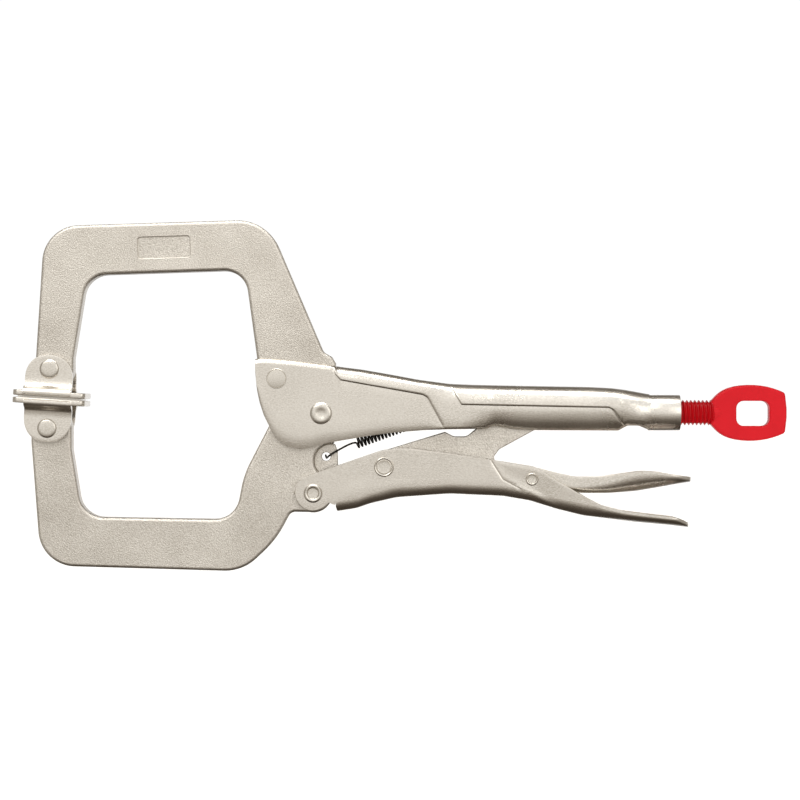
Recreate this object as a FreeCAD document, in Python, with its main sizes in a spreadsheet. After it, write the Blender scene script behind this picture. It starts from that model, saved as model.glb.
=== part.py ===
import FreeCAD, Part
import math
import os
import Sketcher

# A locking C-clamp with swivel pads, in millimetres: +X runs from the jaws to the key, +Z is up towards
# the fixed jaw, and Y is the thickness. The origin is where the two closed pads meet, on the mid plane.

doc = FreeCAD.newDocument("locking_c_clamp")
sheet = doc.addObject("Spreadsheet::Sheet", "dims")


class Size:
    """A length that keeps its number and the spreadsheet formula it comes from together."""

    def __init__(self, value, text):
        self.value = float(value)
        self.text = text

    def __add__(self, other):
        other = as_size(other)
        return Size(self.value + other.value, f"({self.text} + {other.text})")

    def __sub__(self, other):
        other = as_size(other)
        return Size(self.value - other.value, f"({self.text} - {other.text})")

    def __mul__(self, other):
        other = as_size(other)
        return Size(self.value * other.value, f"({self.text} * {other.text})")

    def __truediv__(self, other):
        other = as_size(other)
        return Size(self.value / other.value, f"({self.text} / {other.text})")

    def __neg__(self):
        return Size(-self.value, f"(0 - {self.text})")


def as_size(number):
    """Any plain number as a Size, so that formulas may mix the two."""
    return number if isinstance(number, Size) else Size(number, f"{number:.6g}")


rows = iter(range(1, 400))


def dim(name, value, note):
    """Write one driving dimension in the next row of the sheet and return it."""
    row = next(rows)
    sheet.set(f"A{row}", name)
    sheet.set(f"B{row}", f"{value}")
    sheet.set(f"C{row}", note)
    sheet.setAlias(f"B{row}", name)
    return Size(value, f"dims.{name}")


# ---- fits and stock -----------------------------------------------------------------------------
jaw_thick = dim("jaw_thick", 9.0, "forged jaw bars, across the flats")
side_gap = dim("side_gap", 0.15, "each side of a moving piece between its cheeks")
pin_gap = dim("pin_gap", 0.05, "radial running clearance of a moving piece on its rivet")
sheet_upper = dim("sheet_upper", 2.4, "sheet of the upper handle")
sheet_lower = dim("sheet_lower", 2.0, "sheet of the lower handle")
sheet_lever = dim("sheet_lever", 1.6, "sheet of the release lever")
sheet_pad = dim("sheet_pad", 2.4, "sheet of the pads")
slot = jaw_thick + side_gap * 2
upper_width = slot + sheet_upper * 2
lower_width = slot + sheet_lower * 2

# ---- pivots, each placed from the one before it -------------------------------------------------
throat_depth = dim("throat_depth", 75.5, "from the pads' centre to the back of the throat")
main_back = dim("main_back", 26.2, "main pivot behind the back of the throat")
main_drop = dim("main_drop", 5.8, "main pivot under the pads' contact")
knee_front = dim("knee_front", 3.0, "knee pivot in front of the main pivot")
knee_drop = dim("knee_drop", 30.0, "knee pivot under the main pivot")
toggle_back = dim("toggle_back", 26.6, "toggle pivot behind the knee pivot")
toggle_lift = dim("toggle_lift", 9.9, "toggle pivot over the knee pivot")
lever_back = dim("lever_back", 55.5, "lever pivot behind the toggle pivot")
lever_drop = dim("lever_drop", 4.6, "lever pivot under the toggle pivot")
lock_back = dim("lock_back", 9.5, "flush rivet behind the back of the throat")
lock_lift = dim("lock_lift", 13.0, "flush rivet over the main pivot")
pad_up_z = dim("upper_pad_lift", 10.8, "upper pad's rivet over the pads' contact")
pad_low_drop = dim("lower_pad_drop", 11.4, "lower pad's rivet under the pads' contact")
screw_lift = dim("screw_lift", 0.2, "screw's axis over the main pivot")
main_x = throat_depth + main_back
main_z = -main_drop
knee_x = main_x - knee_front
knee_z = main_z - knee_drop
toggle_x = knee_x + toggle_back
toggle_z = knee_z + toggle_lift
lever_x = toggle_x + lever_back
lever_z = toggle_z - lever_drop
lock_x = throat_depth + lock_back
lock_z = main_z + lock_lift
pad_up_x = dim("upper_pad_pivot_x", -0.1, "upper pad's rivet along X")
pad_low_x = dim("lower_pad_pivot_x", -1.0, "lower pad's rivet along X")
pad_low_z = -pad_low_drop
screw_z = main_z + screw_lift

# ---- jaws ---------------------------------------------------------------------------------------
bar_upper = dim("bar_upper", 19.0, "width of the fixed jaw's top bar")
bar_lower = dim("bar_lower", 18.8, "width of the movable jaw's bottom bar")
reach_up = dim("reach_up", 46.1, "height of the throat over the pads' contact")
reach_down = dim("reach_down", 44.8, "depth of the throat under the pads' contact")
rise = dim("bar_rise", 2.0, "how far each long bar leaves the level over its length")
corner_outer = dim("corner_outer", 14.0, "outer corner radius at the jaws' front")
corner_back = dim("corner_back", 17.0, "outer corner radius at the jaws' back")
corner_inner = dim("corner_inner", 9.0, "inner corner radius of the throat")
tip_half = dim("tip_half", 7.1, "half the width of a jaw at its tip, and its rounding")
hub_radius = dim("hub_radius", 10.0, "hub of the movable jaw about the main pivot")
lug_radius = dim("lug_radius", 7.3, "lug of the movable jaw about the knee pivot")
badge_long = dim("badge_long", 19.6, "plain recess in the fixed jaw's top bar")
badge_tall = dim("badge_tall", 8.0, "plain recess in the fixed jaw's top bar")
badge_deep = dim("badge_deep", 0.5, "plain recess in the fixed jaw's top bar")
tab_radius = dim("tab_radius", 6.4, "thinned tab that carries the spring")
tab_thick = dim("tab_thick", 4.0, "thinned tab that carries the spring")
spring_hole_x = main_x + dim("spring_hole_back", 1.8, "hole that the spring hooks in, behind the main pivot")
spring_hole_z = main_z - dim("spring_hole_drop", 16.3, "hole that the spring hooks in, under the main pivot")
spring_hole_radius = dim("spring_hole_radius", 1.65, "hole that the spring hooks in")

# ---- upper handle -------------------------------------------------------------------------------
crown_start = main_x + dim("crown_back", 5.7, "where the cheeks join over the channel, behind the main pivot")
barrel_start = crown_start + dim("grip_long", 106.6, "from the crown's front to the barrel")
barrel_end = barrel_start + dim("barrel_long", 22.8, "barrel, with the part inside the grip")
barrel_radius = dim("barrel_radius", 6.7, "outside of the barrel")
crown_round = dim("crown_round", 4.5, "outside bend of the crown")
anchor_x = crown_start + dim("anchor_back", 42.6, "post of the spring's rear loop, behind the crown's front")
anchor_z = screw_z + dim("anchor_lift", 1.6, "post of the spring's rear loop, over the screw's axis")
anchor_radius = dim("anchor_radius", 1.2, "post that the spring's rear loop holds")

# ---- lower handle, link and lever ---------------------------------------------------------------
ear_radius = dim("ear_radius", 6.7, "ears of the lower handle about the knee pivot")
fold_round = dim("fold_round", 3.0, "outside bend of the lower handle")
link_side = dim("link_side", 1.65, "each side of the toggle link, to the walls it runs between")
link_thick = slot - link_side * 2
link_front = dim("link_front", 5.8, "rounding of the link about its rivet")
link_rear = dim("link_rear", 3.5, "rounding of the link's free end")
link_end_x = toggle_x + dim("link_long", 61.2, "from the toggle pivot to the link's rounded end, along X")
open_pivot = dim("open_pivot", 3.6, "room between the link's free end and the screw's point")
lever_side = dim("lever_side", 0.3, "each side of the release lever, to the lower handle's walls")
lever_width = slot - lever_side * 2

# ---- screw --------------------------------------------------------------------------------------
screw_radius = dim("screw_radius", 4.95, "major radius of the M10 thread")
point_radius = dim("point_radius", 3.6, "turned-down dog point")
point_long = dim("point_long", 4.0, "turned-down dog point")
head_start = barrel_end + dim("screw_out", 12.8, "screw that shows between the barrel and the key head")
head_long = dim("head_long", 27.4, "key head")
head_tall = dim("head_tall", 21.2, "key head")
head_thick = dim("head_thick", 6.5, "key head")
eye_long = dim("eye_long", 12.5, "opening in the key head")
eye_tall = dim("eye_tall", 9.4, "opening in the key head")

# ---- pads ---------------------------------------------------------------------------------------
pad_long = dim("pad_long", 27.2, "face of a pad, along X")
pad_deep = dim("pad_deep", 22.0, "face of a pad, along Y")
pad_tilt = dim("pad_tilt", 3.6, "lean of the closed pads, degrees")
pad_gap = dim("pad_gap", 0.7, "daylight between the two closed pads")
ear_half = dim("pad_ear_half", 8.9, "half the width of a pad's ears")
ear_rise = dim("pad_ear_rise", 5.6, "top of a pad's ears over their rivet")
pad_side_gap = dim("pad_side_gap", 0.3, "each side of a jaw between the pad's ears")

# ---- rivets -------------------------------------------------------------------------------------
main_pin = dim("main_pin_radius", 3.2, "shank of the main rivet")
main_head = dim("main_head_radius", 4.15, "head of the main rivet")
lock_pin = dim("lock_pin_radius", 3.7, "flush rivet")
knee_pin = dim("knee_pin_radius", 2.6, "shank of the knee rivet")
knee_head = dim("knee_head_radius", 3.5, "head of the knee rivet")
toggle_pin = dim("toggle_pin_radius", 2.8, "shank of the toggle rivet")
toggle_head = dim("toggle_head_radius", 3.7, "head of the toggle rivet")
lever_pin = dim("lever_pin_radius", 1.6, "shank of the lever rivet")
lever_head = dim("lever_head_radius", 2.4, "head of the lever rivet")
pad_pin = dim("pad_pin_radius", 2.6, "shank of a pad rivet")
pad_head = dim("pad_head_radius", 3.65, "head of a pad rivet")
head_proud = dim("head_proud", 1.0, "how far a rivet head stands out")

# ---- spring -------------------------------------------------------------------------------------
coil_radius = dim("coil_radius", 2.8, "outside of the spring's coil")
wire_radius = dim("wire_radius", 0.5, "spring wire")
coil_front_x = spring_hole_x + dim("coil_lead", 11.1, "coil's front end behind the spring hole")
coil_front_z = spring_hole_z + dim("coil_lead_lift", 5.5, "coil's front end over the spring hole")
coil_rear_x = anchor_x - dim("coil_tail", 5.5, "coil's rear end in front of the post")
coil_rear_z = anchor_z - dim("coil_tail_drop", 1.9, "coil's rear end under the post")

doc.recompute()
bodies = []


# ---- how pieces are made ------------------------------------------------------------------------
def new_body(label, x=None, z=None):
    """A body of its own, at the origin unless a pivot is given."""
    body = doc.addObject("PartDesign::Body", label)
    body.Label = label
    bodies.append(body)
    if x is not None:
        body.Placement = FreeCAD.Placement(FreeCAD.Vector(x.value, 0, z.value), FreeCAD.Rotation())
        body.setExpression("Placement.Base.x", x.text)
        body.setExpression("Placement.Base.z", z.text)
    return body


def new_sketch(body, role, name, offset=None):
    """A sketch on one of the body's own planes, moved along the plane's normal by offset."""
    sketch = body.newObject("Sketcher::SketchObject", name)
    plane = [item for item in body.Origin.OriginFeatures if item.Role == role][0]
    sketch.AttachmentSupport = [(plane, "")]
    sketch.MapMode = "FlatFace"
    if offset is not None:
        sketch.AttachmentOffset = FreeCAD.Placement(FreeCAD.Vector(0, 0, offset.value), FreeCAD.Rotation())
        sketch.setExpression("AttachmentOffset.Base.z", offset.text)
    return sketch


def tie(sketch, kind, geo, end, size):
    """Hold one end of a sketched line at a signed distance from the sketch's origin."""
    at = sketch.addConstraint(Sketcher.Constraint(kind, -1, 1, geo, end, size.value))
    sketch.setExpression(f"Constraints[{at}]", size.text)


def draw_outline(sketch, corners):
    """A closed outline of straight runs through the corners, each corner tied to the sheet."""
    corners = [(as_size(a), as_size(b)) for a, b in corners]
    points = [FreeCAD.Vector(a.value, b.value, 0) for a, b in corners]
    count = len(points)
    for n in range(count):
        sketch.addGeometry(Part.LineSegment(points[n], points[(n + 1) % count]), False)
    for n in range(count):
        sketch.addConstraint(Sketcher.Constraint("Coincident", n, 2, (n + 1) % count, 1))
    for n, (a, b) in enumerate(corners):
        tie(sketch, "DistanceX", n, 1, a)
        tie(sketch, "DistanceY", n, 1, b)


def draw_circle(sketch, a, b, radius):
    """A circle tied to the sheet by its centre and radius."""
    circle = Part.Circle(FreeCAD.Vector(a.value, b.value, 0), FreeCAD.Vector(0, 0, 1), radius.value)
    geo = sketch.addGeometry(circle, False)
    tie(sketch, "DistanceX", geo, 3, a)
    tie(sketch, "DistanceY", geo, 3, b)
    at = sketch.addConstraint(Sketcher.Constraint("Radius", geo, radius.value))
    sketch.setExpression(f"Constraints[{at}]", radius.text)


def feature(body, kind, name, sketch):
    """A sketch-based feature of the body."""
    item = body.newObject(kind, name)
    item.Profile = sketch
    sketch.Visibility = False
    return item


def add_plate(body, name, corners, width):
    """Material of the outline, evenly about the mid plane."""
    sketch = new_sketch(body, "XZ_Plane", f"{name}_outline")
    draw_outline(sketch, corners)
    pad = feature(body, "PartDesign::Pad", name, sketch)
    pad.SideType = "Symmetric"
    pad.Length = width.value
    pad.setExpression("Length", width.text)
    doc.recompute()
    return pad


def add_disc(body, name, x, z, radius, width):
    """A round boss, evenly about the mid plane."""
    sketch = new_sketch(body, "XZ_Plane", f"{name}_outline")
    draw_circle(sketch, x, z, radius)
    pad = feature(body, "PartDesign::Pad", name, sketch)
    pad.SideType = "Symmetric"
    pad.Length = width.value
    pad.setExpression("Length", width.text)
    doc.recompute()
    return pad


def cut(body, name, sketch, width=None):
    """Remove the sketch's shape evenly about the mid plane, by width or right through."""
    before = body.Shape.Volume
    pocket = feature(body, "PartDesign::Pocket", name, sketch)
    pocket.SideType = "Symmetric"
    if width is None:
        pocket.Type = "ThroughAll"
    else:
        pocket.Length = width.value
        pocket.setExpression("Length", width.text)
    doc.recompute()
    if body.Shape.Volume > before - 0.5:
        raise ValueError(f"{name} removes nothing from {body.Label}")


def cut_outline(body, name, corners, width=None):
    """Remove an outline of straight runs."""
    sketch = new_sketch(body, "XZ_Plane", f"{name}_outline")
    draw_outline(sketch, corners)
    cut(body, name, sketch, width)


def cut_hole(body, name, x, z, radius):
    """Drill right through, along Y."""
    sketch = new_sketch(body, "XZ_Plane", f"{name}_outline")
    draw_circle(sketch, x, z, radius)
    cut(body, name, sketch)


def round_edges(body, name, edges, radius):
    """Round the named edges of the body's last feature."""
    base = body.Tip
    fillet = body.newObject("PartDesign::Fillet", name)
    fillet.Base = (base, edges)
    fillet.Radius = radius.value
    fillet.setExpression("Radius", radius.text)
    doc.recompute()
    return fillet


def corner_edges(body, corners):
    """Names of the edges that run along Y at the corners."""
    found = []
    for number, edge in enumerate(body.Tip.Shape.Edges, 1):
        low, high = edge.BoundBox.getPoint(0), edge.BoundBox.getPoint(6)
        thin = edge.BoundBox.XLength < 0.01 and edge.BoundBox.ZLength < 0.01
        middle = (low + high) / 2
        near = [c for c in corners if abs(c[0].value - middle.x) + abs(c[1].value - middle.z) < 0.05]
        if thin and near:
            found.append(f"Edge{number}")
    return found


def long_edges(body, x, z):
    """Names of the two edges, near and far, that run along the outline past x and nearest to z."""
    chosen = []
    for side in (-1, 1):
        best = None
        for number, edge in enumerate(body.Tip.Shape.Edges, 1):
            box = edge.BoundBox
            flat = box.YLength < 0.01 and box.YMin * side > 0
            if flat and box.XMin < x.value < box.XMax:
                share = (x.value - box.XMin) / box.XLength
                start, end = edge.Vertexes[0].Point, edge.Vertexes[-1].Point
                if start.x > end.x:
                    start, end = end, start
                away = abs(start.z + (end.z - start.z) * share - z.value)
                if best is None or away < best[0]:
                    best = (away, f"Edge{number}")
        chosen.append(best[1])
    return chosen


def round_corners(body, corners, radius, name):
    """Round an outline's corners to one radius."""
    corners = [(as_size(a), as_size(b)) for a, b in corners]
    edges = corner_edges(body, corners)
    if len(edges) < len(corners):
        raise ValueError(f"{name}: {len(edges)} edges at {len(corners)} corners")
    return round_edges(body, name, edges, as_size(radius))


# ---- fixed jaw ----------------------------------------------------------------------------------
def make_fixed_jaw():
    body = new_body("fixed_jaw")
    tip_low = pad_up_z - tip_half
    left, right = pad_up_x - tip_half + 1.6, pad_up_x + tip_half + 1.6
    inner_front = (right + 5.1, reach_up)
    inner_back = (throat_depth - 2.5, reach_up + rise)
    outer_front = (left + 3.2, reach_up + bar_upper - 0.6)
    outer_back = (throat_depth + 5.8, reach_up + bar_upper + rise)
    tang_back = (crown_start - 0.2, lock_z + 5.8)
    shoulder = (crown_start - 4.8, lock_z + 10.0)
    tang_low = main_z + hub_radius + 1.0
    add_plate(
        body,
        "forging",
        [
            (left, tip_low),
            (left, pad_up_z + 4),
            outer_front,
            outer_back,
            shoulder,
            (crown_start - 1.7, lock_z + 8.2),
            tang_back,
            (tang_back[0], tang_low),
            (main_x - 6.2, tang_low),
            (main_x - 9.7, tang_low - 4.2),
            (throat_depth + 2.9, tang_low - 4.2),
            (throat_depth + 2.5, lock_z + 4.5),
            inner_back,
            inner_front,
            (right, pad_up_z + 4),
            (right, tip_low),
        ],
        slot,
    )
    round_corners(body, [(left, tip_low), (right, tip_low)], tip_half - 0.2, "tip_round")
    round_corners(body, [outer_front], corner_outer, "front_round")
    round_corners(body, [outer_back], corner_back, "back_round")
    round_corners(body, [inner_front, inner_back], corner_inner, "throat_round")
    round_corners(body, [shoulder], 3.0, "shoulder_round")
    cut_hole(body, "pad_bore", pad_up_x, pad_up_z, pad_pin + pin_gap)
    cut_hole(body, "rivet_bore", lock_x, lock_z, lock_pin)
    badge = new_sketch(body, "XZ_Plane", "badge_outline", slot / 2)
    middle_x, middle_z = (throat_depth + 9.7) / 2, reach_up + bar_upper / 2 + 0.9
    lean = badge_long * 0.0175
    draw_outline(
        badge,
        [
            (middle_x - badge_long / 2, middle_z - badge_tall / 2 - lean),
            (middle_x + badge_long / 2, middle_z - badge_tall / 2 + lean),
            (middle_x + badge_long / 2, middle_z + badge_tall / 2 + lean),
            (middle_x - badge_long / 2, middle_z + badge_tall / 2 - lean),
        ],
    )
    before = body.Shape.Volume
    pocket = feature(body, "PartDesign::Pocket", "badge", badge)
    pocket.Length = badge_deep.value
    pocket.setExpression("Length", badge_deep.text)
    doc.recompute()
    if body.Shape.Volume > before - 10:
        raise ValueError("the badge is not cut")
    return body


# ---- movable jaw --------------------------------------------------------------------------------
def make_movable_jaw():
    body = new_body("movable_jaw")
    tip_top = pad_low_z + tip_half
    left, right = pad_low_x - tip_half + 1.2, pad_low_x + tip_half + 1.8
    inner_front = (right + 4.1, -reach_down)
    inner_back = (throat_depth - 6.1, -reach_down - 1.0)
    outer_front = (left + 3.2, -reach_down - bar_lower + 0.6)
    outer_back = (throat_depth - 3.4, -reach_down - bar_lower - 1.6)
    heel = (knee_x - 14.1, knee_z - 17.7)
    crotch = (knee_x - 8.4, knee_z - 7.0)
    neck = (throat_depth - 2.9, -reach_down + 16.0)
    rise_end = (main_x - 17.5, main_z - 0.6)
    add_plate(
        body,
        "forging",
        [
            (left, tip_top),
            (left - 0.4, pad_low_z - 5.0),
            outer_front,
            outer_back,
            heel,
            crotch,
            (knee_x, knee_z - lug_radius + 0.15),
            (knee_x + 6.2, knee_z - 1.0),
            (main_x + 6.2, knee_z + 9.0),
            (main_x + 6.2, main_z - 14.4),
            (main_x + 4.8, main_z - 10.7),
            (main_x, main_z),
            (main_x - 3.0, main_z + hub_radius - 0.6),
            rise_end,
            neck,
            inner_back,
            inner_front,
            (right, pad_low_z - 8.0),
            (right, tip_top),
        ],
        jaw_thick,
    )
    round_corners(body, [(left, tip_top), (right, tip_top)], tip_half - 0.2, "tip_round")
    round_corners(body, [outer_front], corner_outer, "front_round")
    round_corners(body, [outer_back], corner_back, "back_round")
    round_corners(body, [heel], 38.0, "heel_round")
    round_corners(body, [crotch], 3.0, "crotch_round")
    round_corners(body, [inner_front, inner_back], corner_inner + 0.5, "throat_round")
    round_corners(body, [neck], 36.0, "neck_round")
    add_disc(body, "hub", main_x, main_z, hub_radius, jaw_thick)
    add_disc(body, "lug", knee_x, knee_z, lug_radius, jaw_thick)
    for side, name in ((1, "near"), (-1, "far")):
        face = new_sketch(body, "XZ_Plane", f"{name}_tab_outline", jaw_thick / 2 * side)
        draw_circle(face, main_x + 3.7, main_z - 17.9, tab_radius)
        before = body.Shape.Volume
        pocket = feature(body, "PartDesign::Pocket", f"{name}_tab", face)
        pocket.Reversed = side < 0
        pocket.Length = (jaw_thick.value - tab_thick.value) / 2
        pocket.setExpression("Length", ((jaw_thick - tab_thick) / 2).text)
        doc.recompute()
        if body.Shape.Volume > before - 10:
            raise ValueError(f"the {name} side of the tab is not thinned")
    cut_hole(body, "spring_hole", spring_hole_x, spring_hole_z, spring_hole_radius)
    cut_hole(body, "main_bore", main_x, main_z, main_pin + pin_gap)
    cut_hole(body, "knee_bore", knee_x, knee_z, knee_pin + pin_gap)
    cut_hole(body, "pad_bore", pad_low_x, pad_low_z, pad_pin + pin_gap)
    return body


# ---- upper handle -------------------------------------------------------------------------------
def make_upper_handle():
    body = new_body("upper_handle")
    waist_x = crown_start + 43.0
    crown_top = main_z + 17.8
    waist_top = screw_z + 10.7
    rear_top = screw_z + 9.7
    floor = screw_z - 6.1
    grip_end = barrel_start - 0.4
    add_plate(
        body,
        "grip",
        [
            (crown_start, crown_top),
            (waist_x, waist_top),
            (barrel_start - 9, rear_top),
            (barrel_start + 11.2, screw_z + barrel_radius),
            (barrel_start + 11.2, screw_z - barrel_radius),
            (barrel_start + 8, screw_z - 4),
            (barrel_start + 2.8, screw_z - 4),
            (grip_end, screw_z - 6.9),
            (waist_x, floor),
            (crown_start, main_z - 10.4),
        ],
        upper_width,
    )
    round_corners(body, [(waist_x, waist_top)], 60.0, "waist_round")
    round_corners(body, [(barrel_start - 9, rear_top)], 60.0, "rear_round")
    round_edges(body, "crown_bend", long_edges(body, waist_x - 20, waist_top), crown_round)
    nose_low = main_z - 13.6
    nose = [
        (throat_depth + 1.9, crown_top + 3.2),
        (throat_depth + 1.3, main_z + 14.0),
        (throat_depth + 4.0, main_z + 0.3),
        (throat_depth + 10.3, nose_low),
        (main_x - 5.2, nose_low),
        (main_x + 1.3, main_z - 11.2),
        (crown_start + 0.6, main_z - 10.3),
        (crown_start + 0.6, crown_top - 0.1),
    ]
    add_plate(body, "nose", nose, upper_width)
    round_corners(body, [nose[1], nose[2]], 20.0, "nose_front")
    round_corners(body, [nose[3]], 9.0, "nose_chin")
    round_corners(body, [nose[4]], 8.0, "nose_throat")
    barrel = new_sketch(body, "YZ_Plane", "barrel_outline", barrel_start)
    draw_circle(barrel, as_size(0), screw_z, barrel_radius)
    pad = feature(body, "PartDesign::Pad", "barrel", barrel)
    pad.Length = (barrel_end - barrel_start).value
    pad.setExpression("Length", (barrel_end - barrel_start).text)
    doc.recompute()
    cut_outline(
        body,
        "channel",
        [
            (throat_depth - 5, crown_top + 10),
            (crown_start, crown_top + 10),
            (crown_start, crown_top - sheet_upper),
            (waist_x, waist_top - sheet_upper),
            (barrel_start, rear_top - sheet_upper - 0.4),
            (barrel_start, screw_z - 20),
            (throat_depth - 5, screw_z - 20),
        ],
        slot,
    )
    before = body.Shape.Volume
    bore = new_sketch(body, "YZ_Plane", "bore_outline", barrel_end)
    draw_circle(bore, as_size(0), screw_z, screw_radius + pin_gap)
    pocket = feature(body, "PartDesign::Pocket", "screw_bore", bore)
    bore_long = barrel_end - link_end_x - link_rear
    pocket.Length = bore_long.value
    pocket.setExpression("Length", bore_long.text)
    doc.recompute()
    if body.Shape.Volume > before - 10:
        raise ValueError("the screw bore is not cut")
    cut_hole(body, "main_hole", main_x, main_z, main_pin)
    cut_hole(body, "lock_hole", lock_x, lock_z, lock_pin)
    add_disc(body, "spring_post", anchor_x, anchor_z, anchor_radius, slot + sheet_upper)
    return body


# ---- lower handle -------------------------------------------------------------------------------
def make_lower_handle():
    body = new_body("lower_handle")
    web_front = knee_x + 9.2
    tail = lever_x + 59.0
    hump = (toggle_x + 4.2, toggle_z + 7.7)
    shoulder = (lever_x + 1.7, lever_z + 4.5)
    dip = (lever_x + 22.7, lever_z - 8.3)
    belly = (toggle_x + 24.7, toggle_z - 9.5)
    keel = (lever_x + 2.2, lever_z - 8.9)
    heel = (lever_x + 24.2, lever_z - 14.7)
    walls = [
        (knee_x - 2.4, knee_z + ear_radius - 0.5),
        hump,
        shoulder,
        dip,
        (lever_x + 34.2, lever_z - 11.9),
        (tail - 2.3, lever_z - 15.7),
        (tail, lever_z - 17.9),
        heel,
        keel,
        belly,
        (web_front, knee_z - 7.2),
        (web_front - 1.0, knee_z - 4.1),
        (knee_x + 5.8, knee_z - 2.7),
        (knee_x, knee_z),
    ]
    add_plate(body, "walls", walls, lower_width)
    round_corners(body, [hump], 30.0, "hump_round")
    round_corners(body, [shoulder], 6.0, "shoulder_round")
    round_corners(body, [dip], 18.0, "dip_round")
    round_corners(body, [belly, keel, heel], 60.0, "belly_round")
    round_edges(body, "fold", long_edges(body, web_front + 15, knee_z - 3), fold_round)
    add_disc(body, "ears", knee_x, knee_z, ear_radius, lower_width)
    cut_outline(
        body,
        "channel",
        [
            (knee_x - 15, toggle_z + 20),
            (tail + 10, toggle_z + 20),
            (tail + 10, lever_z - 17.9 + sheet_lower),
            (tail, lever_z - 17.9 + sheet_lower),
            (heel[0], heel[1] + sheet_lower),
            (keel[0], keel[1] + sheet_lower),
            (belly[0], belly[1] + sheet_lower),
            (web_front - 0.9, knee_z - 5.2),
            (web_front - 1.4, knee_z - 25),
            (knee_x - 15, knee_z - 25),
        ],
        slot,
    )
    cut_hole(body, "knee_hole", knee_x, knee_z, knee_pin)
    cut_hole(body, "toggle_hole", toggle_x, toggle_z, toggle_pin)
    cut_hole(body, "lever_hole", lever_x, lever_z, lever_pin)
    return body


# ---- toggle link --------------------------------------------------------------------------------
def make_toggle_link():
    body = new_body("toggle_link")
    cusp = (toggle_x + 23.0, toggle_z + 13.1)
    add_plate(
        body,
        "blank",
        [
            (toggle_x - 1.6, toggle_z + link_front - 0.2),
            cusp,
            (toggle_x + 26.2, toggle_z + 11.4),
            (toggle_x + 31.2, toggle_z + 11.4),
            (toggle_x + 37.0, toggle_z + 16.2),
            (link_end_x - 1.0, screw_z + link_rear),
            (link_end_x, screw_z),
            (link_end_x + 1.8, screw_z - link_rear + 0.5),
            (toggle_x + 43.4, toggle_z + 6.6),
            (toggle_x + 41.3, toggle_z + 3.8),
            (toggle_x + 42.6, toggle_z - 1.2),
            (toggle_x + 33.0, toggle_z - 4.6),
            (toggle_x + 2.0, toggle_z - link_front + 0.3),
            (toggle_x, toggle_z),
        ],
        link_thick,
    )
    notch = [(toggle_x + 26.2, toggle_z + 11.4), (toggle_x + 31.2, toggle_z + 11.4)]
    round_corners(body, notch, 3.0, "notch_round")
    round_corners(body, [(toggle_x + 43.4, toggle_z + 6.6)], 2.5, "crook_round")
    add_disc(body, "front_eye", toggle_x, toggle_z, link_front, link_thick)
    add_disc(body, "rear_nose", link_end_x, screw_z, link_rear, link_thick)
    cut_hole(body, "toggle_bore", toggle_x, toggle_z, toggle_pin + pin_gap)
    return body


# ---- release lever ------------------------------------------------------------------------------
def make_release_lever():
    body = new_body("release_lever")
    under = [
        (lever_x + 59.8, lever_z - 0.4),
        (lever_x + 39.2, lever_z - 4.1),
        (lever_x + 19.2, lever_z - 5.4),
        (lever_x - 0.8, lever_z - 3.8),
        (lever_x - 11.0, lever_z - 2.2),
    ]
    top = [
        (lever_x - 12.6, lever_z + 0.2),
        (lever_x - 9.0, lever_z + 1.6),
        (lever_x + 1.5, lever_z + 4.3),
        (lever_x + 13.5, lever_z + 1.0),
        (lever_x + 23.2, lever_z + 0.5),
        (lever_x + 43.2, lever_z + 3.2),
        (lever_x + 59.4, lever_z + 1.2),
    ]
    add_plate(body, "blank", under + top, lever_width)
    round_corners(body, [top[2]], 4.0, "crest_round")
    round_corners(body, [under[1], under[2]], 30.0, "belly_round")
    round_corners(body, [top[3], top[4]], 20.0, "saddle_round")
    hollow = [(x, z + sheet_lever) for x, z in under[:4]]
    above = [(lever_x - 9.0, lever_z + 20), (lever_x + 70, lever_z + 20), (lever_x + 70, lever_z + 1.2)]
    cut_outline(body, "trough", above + hollow, lever_width - sheet_lever * 2)
    cut_hole(body, "lever_bore", lever_x, lever_z, lever_pin + pin_gap)
    return body


# ---- adjusting screw ----------------------------------------------------------------------------
def add_rod(body, name, start, end, radius):
    """A round rod along the screw's axis."""
    sketch = new_sketch(body, "YZ_Plane", f"{name}_outline", start)
    draw_circle(sketch, as_size(0), screw_z, radius)
    pad = feature(body, "PartDesign::Pad", name, sketch)
    pad.Length = (end - start).value
    pad.setExpression("Length", (end - start).text)
    doc.recompute()


def make_screw():
    point = new_body("screw_point")
    tip_x = link_end_x + link_rear + open_pivot
    add_rod(point, "dog_point", tip_x, tip_x + point_long, point_radius)
    body = new_body("adjusting_screw")
    add_rod(body, "shank", tip_x + point_long, head_start + 2, screw_radius)
    half = head_tall / 2
    head = [
        (head_start, screw_z - 4.6),
        (head_start + 2.6, screw_z - 7.8),
        (head_start + 13.4, screw_z - half - 0.6),
        (head_start + head_long - 0.9, screw_z - 7.4),
        (head_start + head_long, screw_z),
        (head_start + head_long - 0.9, screw_z + 7.4),
        (head_start + 13.4, screw_z + half + 0.6),
        (head_start + 2.6, screw_z + 7.8),
        (head_start, screw_z + 4.6),
    ]
    add_plate(body, "key_head", head, head_thick)
    round_corners(body, [head[2], head[6]], 20.0, "key_belly")
    round_corners(body, [head[1], head[7]], 4.0, "key_shoulder")
    round_corners(body, [head[3], head[5]], 1.0, "key_corner")
    eye_x, eye_half = head_start + 8.4, eye_tall / 2
    eye = [
        (eye_x, screw_z - eye_half),
        (eye_x + eye_long, screw_z - eye_half),
        (eye_x + eye_long, screw_z + eye_half),
        (eye_x, screw_z + eye_half),
    ]
    cut_outline(body, "eye", eye)
    round_corners(body, eye, 2.6, "eye_round")
    return point, body


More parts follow.
